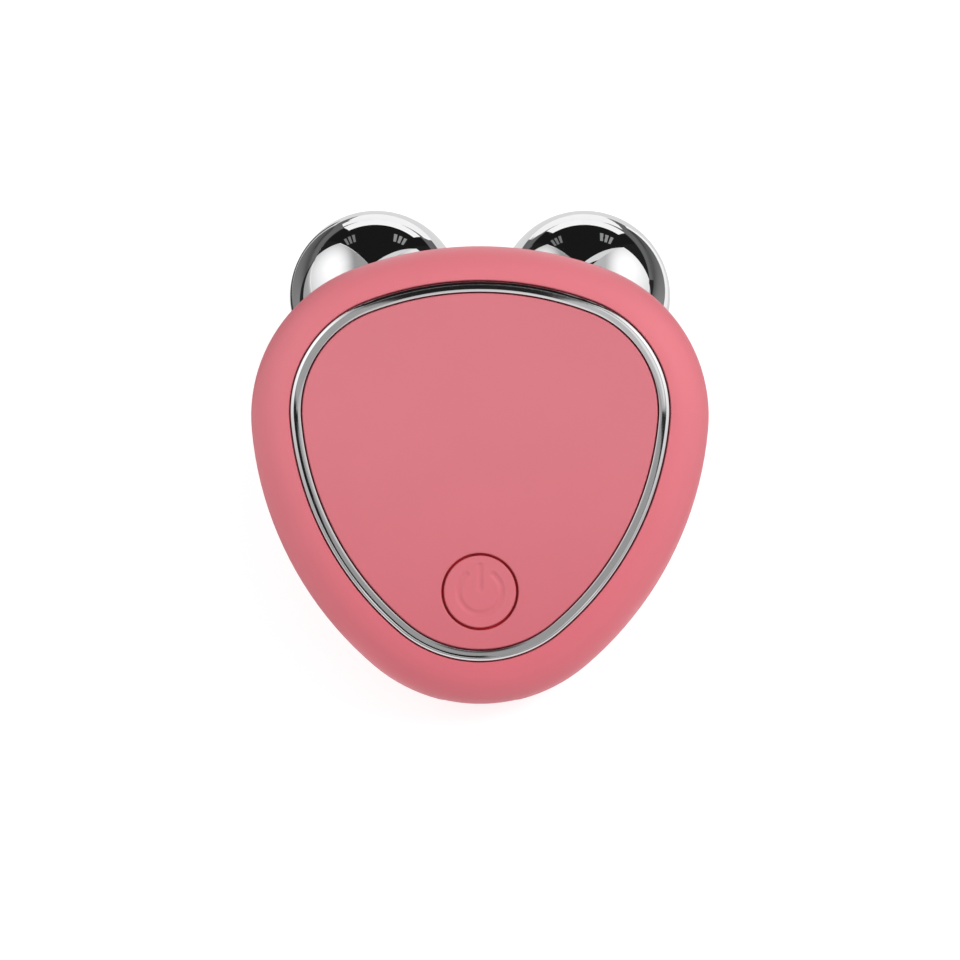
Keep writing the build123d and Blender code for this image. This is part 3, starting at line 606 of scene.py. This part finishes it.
def finish_piece(name, bm, place, body, material, slot, *replaced):
    """Puts a piece that was made in its own frame into place, and has it ride on its body."""
    bmesh.ops.remove_doubles(bm, verts=bm.verts, dist=MERGE)
    bmesh.ops.recalc_face_normals(bm, faces=bm.faces)
    bmesh.ops.transform(bm, matrix=place, verts=bm.verts)
    mesh = bpy.data.meshes.new(name)
    bm.to_mesh(mesh)
    bm.free()
    mesh.shade_smooth()
    mesh.set_sharp_from_angle(angle=SHARP_ANGLE)
    mesh.materials.append(material)
    piece = bpy.data.objects.new(name, mesh)
    bpy.context.scene.collection.objects.link(piece)
    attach(piece, body)
    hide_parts(*replaced)


def outline_arcs():
    """The right half's arcs as (centre, turn), clockwise from the head, and half the length."""
    centre, angle = Vector((0, -HEAD_RADIUS, 0)), HEAD_TURN
    arcs = [(centre, HEAD_TURN)]
    before = HEAD_RADIUS
    for radius, turn in ((SHOULDER_RADIUS, SHOULDER_TURN), (FLANK_RADIUS, FLANK_TURN)):
        centre = centre + (before - radius) * Vector((sin(angle), cos(angle), 0))
        arcs.append((centre, turn))
        angle += turn
        before = radius
    tail_radius = FLANK_RADIUS + centre.x / sin(angle)  # closes the outline on X = 0
    centre = centre + (before - tail_radius) * Vector((sin(angle), cos(angle), 0))
    arcs.append((centre, pi - angle))
    half_length = (tail_radius - centre.y) / 2
    return [(c + Vector((0, half_length, 0)), turn) for c, turn in arcs], half_length


ARCS, HALF_LENGTH = outline_arcs()


def sweep_round_outline(bm, section, rise):
    """Sweeps a closed section of (inset, height) points round the outline, raised along +Y."""
    corners = [bm.verts.new((0, HALF_LENGTH + rise - inset, height)) for inset, height in section]
    last = corners + [bm.edges.new(pair) for pair in zip(corners, corners[1:] + corners[:1])]
    for centre, turn in ARCS:
        last = bmesh.ops.spin(
            bm, geom=last, cent=centre + Vector((0, rise, 0)), axis=(0, 0, -1), angle=turn,
            steps=ceil(turn / OUTLINE_STEP),
        )["geom_last"]
    half = bm.verts[:] + bm.edges[:] + bm.faces[:]
    bmesh.ops.mirror(bm, geom=half, axis="X", merge_dist=0)
    bmesh.ops.remove_doubles(bm, verts=bm.verts, dist=MERGE)
    bmesh.ops.recalc_face_normals(bm, faces=bm.faces)


def edges_at(bm, height):
    return [e for e in bm.edges if all(abs(v.co.z - height) < MERGE for v in e.verts)]


def round_edges(bm, edges, size, segments):
    bmesh.ops.bevel(
        bm, geom=edges, offset=size, segments=segments, profile=0.5, affect="EDGES", material=-1
    )


def make_trim_ring(material):
    """The bright band: a steep outer slope, a crest, and a long shallow crown down to the panel."""
    bm = bmesh.new()
    corners = [(inset, height) for inset, height, _ in TRIM_CORNERS]
    feet = (TRIM_OUTER, TRIM_FOOT), (TRIM_INNER, TRIM_FOOT)
    sweep_round_outline(bm, [feet[0], *corners, feet[1]], TRIM_RISE)
    lines = [(edges_at(bm, height), rounding) for _, height, rounding in TRIM_CORNERS]
    for edges, rounding in lines:
        round_edges(bm, edges, rounding, TRIM_SEGMENTS)
    finish_piece("bright_trim_ring", bm, PANEL, "handset", material, "trim_chrome", "trim_ring")


def line_on(bm, last, points):
    """Carries a profile on by straight edges through (radius, height) points, to its new end."""
    for radius, height in points:
        following = bm.verts.new((radius, 0, height))
        bm.edges.new((last, following))
        last = following
    return last


def arc_on(bm, last, centre, axis, angle, steps):
    """Carries a profile on round an arc, to its new end."""
    arc = bmesh.ops.spin(bm, geom=[last], cent=centre, axis=axis, angle=angle, steps=steps)
    return next(v for v in arc["geom_last"] if isinstance(v, bmesh.types.BMVert))


def lathe(bm, steps):
    """Turns the profile, drawn on X and Z, all the way round Z."""
    bmesh.ops.spin(
        bm, geom=bm.verts[:] + bm.edges[:], cent=(0, 0, 0), axis=(0, 0, 1), angle=2 * pi,
        steps=steps, use_merge=True,
    )
    bmesh.ops.remove_doubles(bm, verts=bm.verts, dist=MERGE)


def make_ball(side, material):
    """A polished electrode ball, its mouth and bore towards the body."""
    bm = bmesh.new()
    pole = bm.verts.new((0, 0, -BALL_RADIUS))
    mouth_radius = (BALL_RADIUS**2 - BALL_MOUTH**2) ** 0.5
    turn = pi / 2 + Vector((mouth_radius, BALL_MOUTH)).angle(Vector((1, 0)))
    lip = arc_on(bm, pole, (0, 0, 0), (0, -1, 0), turn, BALL_ARC_STEPS)
    bore = (BALL_BORE_RADIUS, BALL_MOUTH), (BALL_BORE_RADIUS, BALL_BORE_END), (0, BALL_BORE_END)
    line_on(bm, lip, bore)
    lathe(bm, BALL_TURN_STEPS)
    mouth = [
        e for e in edges_at(bm, BALL_MOUTH)
        if all(abs(v.co.xy.length - mouth_radius) < MERGE for v in e.verts)
    ]
    round_edges(bm, mouth, MOUTH_ROUND, MOUTH_SEGMENTS)
    name, body = f"polished_ball_{side}", f"roller_{side}"
    finish_piece(name, bm, ROLLER[side], body, material, "ball_chrome", f"ball_{side}")


def off_stroke(x, y):
    """How far a point of the button's face is from the middle line of the power mark."""
    point = Vector((x, y))
    bar_y = min(max(y, SYMBOL_BAR[0]), SYMBOL_BAR[1])
    to_bar = (point - Vector((0, bar_y))).length
    end = SYMBOL_RADIUS * Vector((sin(SYMBOL_GAP), cos(SYMBOL_GAP)))
    in_gap = y > 0 and abs(x) < y * sin(SYMBOL_GAP) / cos(SYMBOL_GAP)
    to_ring = (Vector((abs(x), y)) - end).length if in_gap else abs(point.length - SYMBOL_RADIUS)
    return min(to_bar, to_ring)


def press_mark(bm):
    """Dishes the button's face slightly, and sinks the power mark into it with soft edges."""
    reach = SYMBOL_HALF_STROKE + SYMBOL_SOFTNESS / 2
    for vertex in bm.verts:
        if abs(vertex.co.z - BUTTON_TOP) < MERGE:
            x, y, _ = vertex.co
            vertex.co.z -= BUTTON_DISH * (1 - (vertex.co.xy.length / BUTTON_RADIUS) ** 2)
            share = min(max((reach - off_stroke(x, y)) / SYMBOL_SOFTNESS, 0.0), 1.0)
            vertex.co.z -= SYMBOL_DEPTH * share * share * (3 - 2 * share)


def make_button(material):
    """The power button: cap, flange and stem turned in one, with the power mark pressed in."""
    bm = bmesh.new()
    middle = bm.verts.new((0, 0, BUTTON_TOP))
    face = BUTTON_RADIUS - BUTTON_ROUND
    rings = [(face * n / BUTTON_RINGS, BUTTON_TOP) for n in range(1, BUTTON_RINGS + 1)]
    rim = line_on(bm, middle, rings)
    centre = (face, 0, BUTTON_TOP - BUTTON_ROUND)
    side = arc_on(bm, rim, centre, (0, 1, 0), pi / 2, BUTTON_ROUND_STEPS)
    line_on(bm, side, [
        (BUTTON_RADIUS, FLANGE_TOP), (FLANGE_RADIUS, FLANGE_TOP), (FLANGE_RADIUS, FLANGE_BOTTOM),
        (STEM_RADIUS, FLANGE_BOTTOM), (STEM_RADIUS, STEM_BOTTOM), (0, STEM_BOTTOM),
    ])
    lathe(bm, BUTTON_TURN_STEPS)
    press_mark(bm)
    place = PANEL @ Matrix.Translation((0, BUTTON_Y, 0))
    finish_piece("button_cap", bm, place, "button", material, "button_pink", "power_button")


# ---------------------------------------------------------------- floor and world

FLOOR_HALF = 4.0
# How much of the light that falls on the floor it gives back, and how bright it looks by itself:
# straight on, in metal and to matt surfaces.
FLOOR_MATT = 0.4
FLOOR_GLOW, FLOOR_GLOW_IN_METAL, FLOOR_BOUNCE = 0.76, 0.55, 0.5
WORLD_LEVEL = 0.58


def plane_piece(name, place, width, height):
    """A flat rectangle centred on a place, facing along the place's +Z."""
    bm = bmesh.new()
    bmesh.ops.create_grid(bm, x_segments=1, y_segments=1, size=0.5)
    bmesh.ops.scale(bm, vec=(width, height, 1), verts=bm.verts)
    bmesh.ops.transform(bm, matrix=place, verts=bm.verts)
    mesh = bpy.data.meshes.new(name)
    bm.to_mesh(mesh)
    bm.free()
    piece = bpy.data.objects.new(name, mesh)
    bpy.context.scene.collection.objects.link(piece)
    return piece


def bare_material(name):
    material = bpy.data.materials.new(name)
    material.use_nodes = True
    tree = material.node_tree
    tree.nodes.clear()
    return material, tree, tree.nodes.new("ShaderNodeOutputMaterial")


def add_floor():
    """A white floor, seen from above only."""
    floor = plane_piece("floor", Matrix(), 2 * FLOOR_HALF, 2 * FLOOR_HALF)
    material, tree, out = bare_material("floor")
    matt = put(tree, "BsdfDiffuse", {"Color": (FLOOR_MATT, FLOOR_MATT, FLOOR_MATT, 1)})
    path = put(tree, "LightPath").outputs
    open_view = maths(tree, "MAXIMUM", path["Is Camera Ray"], path["Is Transmission Ray"])
    in_metal = maths(tree, "MULTIPLY", path["Is Glossy Ray"], FLOOR_GLOW_IN_METAL)
    in_matt = maths(tree, "MULTIPLY_ADD", path["Is Diffuse Ray"], FLOOR_BOUNCE, in_metal)
    strength = maths(tree, "MULTIPLY_ADD", open_view, FLOOR_GLOW, in_matt)
    glow = put(tree, "Emission", {"Strength": strength})
    both = put(tree, "AddShader", {0: matt.outputs[0], 1: glow.outputs[0]})
    below = put(tree, "NewGeometry").outputs["Backfacing"]
    clear = put(tree, "BsdfTransparent")
    side = put(tree, "MixShader", {0: below, 1: both.outputs[0], 2: clear.outputs[0]})
    tree.links.new(side.outputs[0], out.inputs[0])
    floor.data.materials.append(material)


def add_world():
    """White where it is seen straight on, in metal or through a lens, and dimmer as a light."""
    world = bpy.data.worlds.new("studio")
    bpy.context.scene.world = world
    world.use_nodes = True
    tree = world.node_tree
    path = put(tree, "LightPath").outputs
    sharp = maths(tree, "MAXIMUM", path["Is Camera Ray"], path["Is Glossy Ray"])
    seen = maths(tree, "MAXIMUM", sharp, path["Is Transmission Ray"])
    background = tree.nodes["Background"].inputs
    background["Color"].default_value = (1, 1, 1, 1)
    tree.links.new(between(tree, seen, WORLD_LEVEL, 1.0), background["Strength"])


# ---------------------------------------------------------------- painted reflections: glowing cards that only the metal sees

FORWARDS = (0, -1, 0)
LAYER_GAP = 0.1 * MM
CARD_GAP = 0.01


def facing(centre, towards, up=(0, 0, 1)):
    """A place at centre whose +Z looks along towards, its +Y as near to up as can be."""
    ahead = Vector(towards).normalized()
    across = Vector(up).cross(ahead).normalized()
    turn = Matrix((across, ahead.cross(across), ahead)).transposed().to_4x4()
    return Matrix.Translation(centre) @ turn


def only_in_metal(card):
    """Hides a card from all but shiny surfaces."""
    for ray in ("camera", "diffuse", "shadow", "transmission"):
        setattr(card, f"visible_{ray}", False)


def add_card(name, place, width, height, level, glow_centre=None, glow_radius=1.0, edge_level=0.0):
    """A card that only shiny surfaces see. With a glow centre it fades from there outwards."""
    card = plane_piece(name, place, width, height)
    material, tree, out = bare_material(name)
    strength = level
    if glow_centre:
        coords = put(tree, "TexCoord").outputs["Object"]
        away = put(tree, "VectorMath", {0: coords, 1: glow_centre}, operation="DISTANCE")
        fading = ramp(tree, away.outputs["Value"], 0.0, glow_radius)
        strength = between(tree, fading, level, edge_level)
    glow = put(tree, "Emission", {"Strength": strength})
    tree.links.new(glow.outputs[0], out.inputs[0])
    card.data.materials.append(material)
    only_in_metal(card)


def add_upright(name, ends, y, height, level):
    """A card that stands on the floor across Y, from one X to another."""
    place = facing((sum(ends) / 2, y, height / 2), FORWARDS)
    add_card(name, place, ends[1] - ends[0], height, level)


def add_floor_card(name, x, y, width, depth, level, turn=0.0, layer=1, **glow):
    """A card just above the floor, turned about Z. A higher layer lies over a lower one."""
    place = Matrix.Translation((x, y, LAYER_GAP * layer)) @ Matrix.Rotation(turn, 4, "Z")
    add_card(name, place, width, depth, level, **glow)


def add_edge_card(name, start, end, width, side, level, layer, **glow):
    """A floor card whose one long edge runs from start to end, the card to that side of it."""
    start, end = Vector((*start, 0)), Vector((*end, 0))
    along = (end - start).normalized()
    outwards = Vector((0, 0, -1)).cross(along) * side
    middle = (start + end) / 2 + outwards * width / 2
    turn = atan2(along.y, along.x)
    add_floor_card(
        name, middle.x, middle.y, (end - start).length, width, level, turn, layer, **glow
    )


PAPER_Y, PAPER_ENDS, PAPER_HEIGHT = 0.34, (-0.136, 0.181), 0.075
WALL_Y, WALL_ENDS, WALL_HEIGHT = 0.6, (-0.44, 0.54), 2.8
# A pale sheet hangs down the wall's right end, leaning outwards towards its foot.
HIGH_SHEET_CENTRE, HIGH_SHEET_UP = (0.41, 0.59, 1.434), (-0.267, 0, 0.964)
HIGH_SHEET_WIDTH, HIGH_SHEET_LENGTH = 0.35, 2.2
# Each window's three bars: X of the middle one, level, and from bar to bar.
WINDOWS = {"left": (-0.315, 0.2, 0.052), "right": (0.27, 0.3, 0.06)}
WINDOW_Z, WINDOW_HEIGHT, WINDOW_BAR_SHARE = 0.365, 0.21, 0.6
WINDOW_OUTWARDS, WINDOW_UPWARDS = 0.25, 0.97

SOFT_BOX_X, SOFT_BOX_FRONT, SOFT_BOX_HEIGHT = 0.5, -0.5, 3.5
SOFT_BOX_BACK = {"left": 0.67, "right": 0.56}
SOFT_BOX_EDGE = {"left": 0.34, "right": 0.5}
SOFT_BOX_GLOW_Y, SOFT_BOX_GLOW_Z = 0.2, 0.36
# A dark flag in front of each soft box: where its edge leaves the table, and how steep it climbs.
FLAG_EDGE = {"left": (0.412, radians(52)), "right": (0.18, radians(39))}
FLAG_LENGTH, FLAG_WIDTH = 0.6, 0.3

# Where the bright side sheet ends on the table, and the width of the dark line along it.
SHEET_EDGE = {
    "left": ((0.01, -0.011), (0.5, 0.375), 0.008), "right": ((0.105, 0.023), (0.5, 0.15), 0.03)
}
SHEET_WIDTH = 0.6
NEAR_TABLE = {"left": (0.029, 0.109), "right": (0.035, 0.135)}
# The dim table starts behind the balls, and a slim strip of it reaches in between them.
DIM_TABLE_CORNER, DIM_TABLE_WIDTH = (0.037, 0.091), 0.4
STRIP_START = {"left": (0.019, 0.067), "right": (0.022, 0.07)}
STRIP_END, STRIP_WIDTH = (0.039, 0.094), 0.01


def add_window(side, sign):
    """Painted reflection of a far window: its three bars, just in front of the dark wall."""
    middle, level, pitch = WINDOWS[side]
    for bar in (-1, 0, 1):
        centre = (middle + bar * pitch, WALL_Y - CARD_GAP, WINDOW_Z)
        place = facing(centre, FORWARDS, (sign * WINDOW_OUTWARDS, 0, WINDOW_UPWARDS))
        width = pitch * WINDOW_BAR_SHARE
        add_card(f"window_{side}_{bar + 2}", place, width, WINDOW_HEIGHT, level)


def add_soft_box(side, sign):
    depth = SOFT_BOX_BACK[side] - SOFT_BOX_FRONT
    centre = (sign * SOFT_BOX_X, SOFT_BOX_FRONT + depth / 2, SOFT_BOX_HEIGHT / 2)
    add_card(
        f"soft_box_{side}", facing(centre, (-sign, 0, 0)), depth, SOFT_BOX_HEIGHT, level=1.2,
        glow_centre=(sign * SOFT_BOX_X, SOFT_BOX_GLOW_Y, SOFT_BOX_GLOW_Z), glow_radius=0.7,
        edge_level=SOFT_BOX_EDGE[side],
    )


def add_flag(side, sign):
    start, climb = FLAG_EDGE[side]
    along, up = Vector((0, cos(climb), sin(climb))), Vector((0, -sin(climb), cos(climb)))
    foot = Vector((sign * (SOFT_BOX_X - CARD_GAP), start, 0))
    middle = foot + along * FLAG_LENGTH * 0.4 - up * FLAG_WIDTH / 2
    place = facing(middle, (-sign, 0, 0), up)
    add_card(f"flag_{side}", place, FLAG_LENGTH, FLAG_WIDTH, level=0.015)


def add_side_table(side, sign):
    """Painted reflection of the table beside the unit: a bright sheet that ends in a dark line, and
    dim wood.
    """
    def mirrored(point):
        return sign * point[0], point[1]

    *ends, line_width = SHEET_EDGE[side]
    start, end = map(mirrored, ends)
    add_edge_card(
        f"side_sheet_{side}", start, end, SHEET_WIDTH, sign, level=1.0, layer=2,
        glow_centre=(sign * 0.45, 0.15, 0.0), glow_radius=0.4, edge_level=0.38,
    )
    add_edge_card(f"sheet_line_{side}", start, end, line_width, -sign, level=0.02, layer=3)
    near, far = NEAR_TABLE[side]
    add_floor_card(
        f"near_table_{side}", x=sign * (near + far) / 2, y=0.028, width=far - near, depth=0.126,
        level=0.3, glow_centre=(sign * 0.04, 0.0, 0.0), glow_radius=0.07, edge_level=0.09,
    )
    corner, paper_foot = mirrored(DIM_TABLE_CORNER), (PAPER_ENDS[sign > 0], PAPER_Y)
    add_edge_card(
        f"dim_table_{side}", corner, paper_foot, DIM_TABLE_WIDTH, sign, level=0.14, layer=1
    )
    add_floor_card(
        f"dark_line_{side}", x=sign * 0.043, y=0.0725, width=0.034, depth=0.004, level=0.02, layer=3
    )
    start, end = mirrored(STRIP_START[side]), mirrored(STRIP_END)
    add_edge_card(f"between_balls_{side}", start, end, STRIP_WIDTH, sign, level=0.13, layer=4)
    add_floor_card(
        f"side_floor_{side}", x=sign * 0.3, y=0.2, width=0.45, depth=0.4, level=0.1, layer=0.5
    )


def add_reflections():
    """Painted reflections of what a studio puts round bright metal: paper, dark flags, two windows,
    two soft boxes.
    """
    add_upright("paper", PAPER_ENDS, PAPER_Y, PAPER_HEIGHT, level=1.0)
    add_upright("dark_back", WALL_ENDS, WALL_Y, WALL_HEIGHT, level=0.01)
    place = facing(HIGH_SHEET_CENTRE, FORWARDS, HIGH_SHEET_UP)
    add_card("high_sheet", place, HIGH_SHEET_WIDTH, HIGH_SHEET_LENGTH, level=0.72)
    for side, sign in SIDES.items():
        add_window(side, sign)
        add_soft_box(side, sign)
        add_flag(side, sign)
        add_side_table(side, sign)
    add_floor_card(
        "left_edge_line", x=-0.0278, y=0.02, width=0.0035, depth=0.07, level=0.04, turn=-0.1,
        layer=4,
    )
    add_floor_card("under_rim", x=0.0, y=0.045, width=0.058, depth=0.045, level=0.74)
    add_floor_card("dark_floor", x=0.05, y=0.5, width=1.0, depth=0.32, level=0.05)
    add_floor_card("front_table", x=0.0, y=-0.31, width=0.9, depth=0.54, level=0.3)
    add_floor_card("front_paper", x=0.0, y=-0.051, width=0.26, depth=0.042, level=0.8, layer=2)
    add_floor_card("far_table", x=0.0, y=2.2, width=6.0, depth=3.2, level=0.05)
    add_overhead()


# ---------------------------------------------------------------- the painted reflection over the front panel

OVERHEAD_DISTANCE, OVERHEAD_HALF = 0.9, 0.85
# Its levels over the balls, and over the tail on the left and on the right.
LEVEL_OVER_BALLS, LEVEL_OVER_LEFT, LEVEL_OVER_RIGHT = 0.33, 0.52, 0.36
LEFT_TO_RIGHT, TAIL_TO_BALLS = (-0.15, 0.15), (-0.06, 0.12)
# Soft-edged rectangles on it: from, to and softness along X, and along Y.
BRIGHT_PANE, BRIGHT_PANE_GAIN = ((-0.3, -0.06, 0.08), (-0.2, -0.03, 0.05)), 0.3
CROSS_BAR = (-0.6, 0.6, 0.05), (0.02, 0.062, 0.012)
CLAMP = (0.14, 0.36, 0.03), (0.0, 0.14, 0.03)
BRACE, BRACE_SLANT = ((-0.012, 0.22, 0.012), (0.14, 0.32, 0.02)), 0.6
# Past the tail it is a little brighter, and far over the balls it is dark in the middle.
FAR_TAIL, FAR_TAIL_GAIN = (-0.5, -0.6), 0.2
FAR_DARK_X, FAR_DARK_Y = (-0.26, 0.26, 0.03), (0.5, 0.75)
# The stand that hangs from the cross bar, wider towards its foot.
STAND_X, STAND_FLARE, STAND_EDGE, STAND_Y = 0.005, 0.22, (0.03, 0.012), (-0.5, 0.05, 0.03)
DARK_SHARE = 0.03


def within(tree, value, low, high, soft):
    """1 between two limits, fading to 0 over a soft edge outside them."""
    rising, falling = ramp(tree, value, low - soft, low), ramp(tree, value, high + soft, high)
    return maths(tree, "MULTIPLY", rising, falling)


def rectangle(tree, x, y, across, along):
    """1 on a soft-edged rectangle."""
    return maths(tree, "MULTIPLY", within(tree, x, *across), within(tree, y, *along))


def add_overhead():
    """A glowing sheet square on to the panel that only metal sees: a painted reflection, with
    painted dark shapes of what would stand in front of it.
    """
    turned = Matrix.Rotation(pi, 4, "Y")
    place = PANEL @ Matrix.Translation((0, 0, OVERHEAD_DISTANCE)) @ turned
    sheet = plane_piece("overhead", place, 2 * OVERHEAD_HALF, 2 * OVERHEAD_HALF)
    material, tree, out = bare_material("overhead")
    parts = xyz(tree, vector_in(tree, PANEL))
    x, y = parts["X"], parts["Y"]
    over_tail = between(tree, ramp(tree, x, *LEFT_TO_RIGHT), LEVEL_OVER_LEFT, LEVEL_OVER_RIGHT)
    level = between(tree, ramp(tree, y, *TAIL_TO_BALLS), over_tail, LEVEL_OVER_BALLS)
    pane = rectangle(tree, x, y, *BRIGHT_PANE)
    level = maths(tree, "MULTIPLY_ADD", pane, BRIGHT_PANE_GAIN, level)
    level = maths(tree, "MULTIPLY_ADD", ramp(tree, y, *FAR_TAIL), FAR_TAIL_GAIN, level)

    # painted reflection: dark shapes of a stand, a cross bar, a clamp and a brace on the glowing
    # sheet
    off = maths(tree, "ABSOLUTE", maths(tree, "SUBTRACT", x, STAND_X))
    flare = maths(tree, "MULTIPLY_ADD", maths(tree, "ABSOLUTE", y), -STAND_FLARE, off)
    stand = maths(tree, "MULTIPLY", ramp(tree, flare, *STAND_EDGE), within(tree, y, *STAND_Y))
    slanted = maths(tree, "MULTIPLY_ADD", x, BRACE_SLANT, y)
    far = maths(tree, "MULTIPLY", ramp(tree, y, *FAR_DARK_Y), within(tree, x, *FAR_DARK_X))
    dark = stand
    for shape in (
        rectangle(tree, x, y, *CROSS_BAR), rectangle(tree, x, y, *CLAMP),
        rectangle(tree, x, slanted, *BRACE), far,
    ):
        dark = maths(tree, "MAXIMUM", dark, shape)
    level = maths(tree, "MULTIPLY", level, between(tree, dark, 1.0, DARK_SHARE))
    tree.links.new(put(tree, "Emission", {"Strength": level}).outputs[0], out.inputs[0])
    sheet.data.materials.append(material)
    only_in_metal(sheet)


# ---------------------------------------------------------------- lamps


def add_lamp(name, place, size, power):
    """A soft square lamp that looks at the unit. Shiny surfaces see the cards instead of it."""
    data = bpy.data.lights.new(name, "AREA")
    data.size = size
    data.energy = power
    lamp = bpy.data.objects.new(name, data)
    turn = Vector(place).to_track_quat("Z", "Y").to_matrix().to_4x4()
    lamp.matrix_world = Matrix.Translation(place) @ turn
    lamp.visible_glossy = False
    bpy.context.scene.collection.objects.link(lamp)


def light_studio():
    add_floor()
    add_world()
    add_lamp("key", place=(0.68, -0.03, 0.8), size=0.5, power=5.7)
    add_lamp("fill", place=(-0.7, -0.2, 0.7), size=0.6, power=2.4)
    add_reflections()


# ---------------------------------------------------------------- the whole

make_camera()
bpy.context.scene.view_settings.view_transform = "Standard"
dress_casing()
dress_inside()
for side_name in SIDES:
    dress_roller(side_name)
    make_ball(side_name, polished_chrome(f"ball_chrome_{side_name}", ROLLER[side_name]))
make_trim_ring(polished_chrome("trim_chrome", PANEL, (0.06, 0.1)))
make_button(silk_plastic("pink_button", PINK_BUTTON, gap_shade=True))
light_studio()
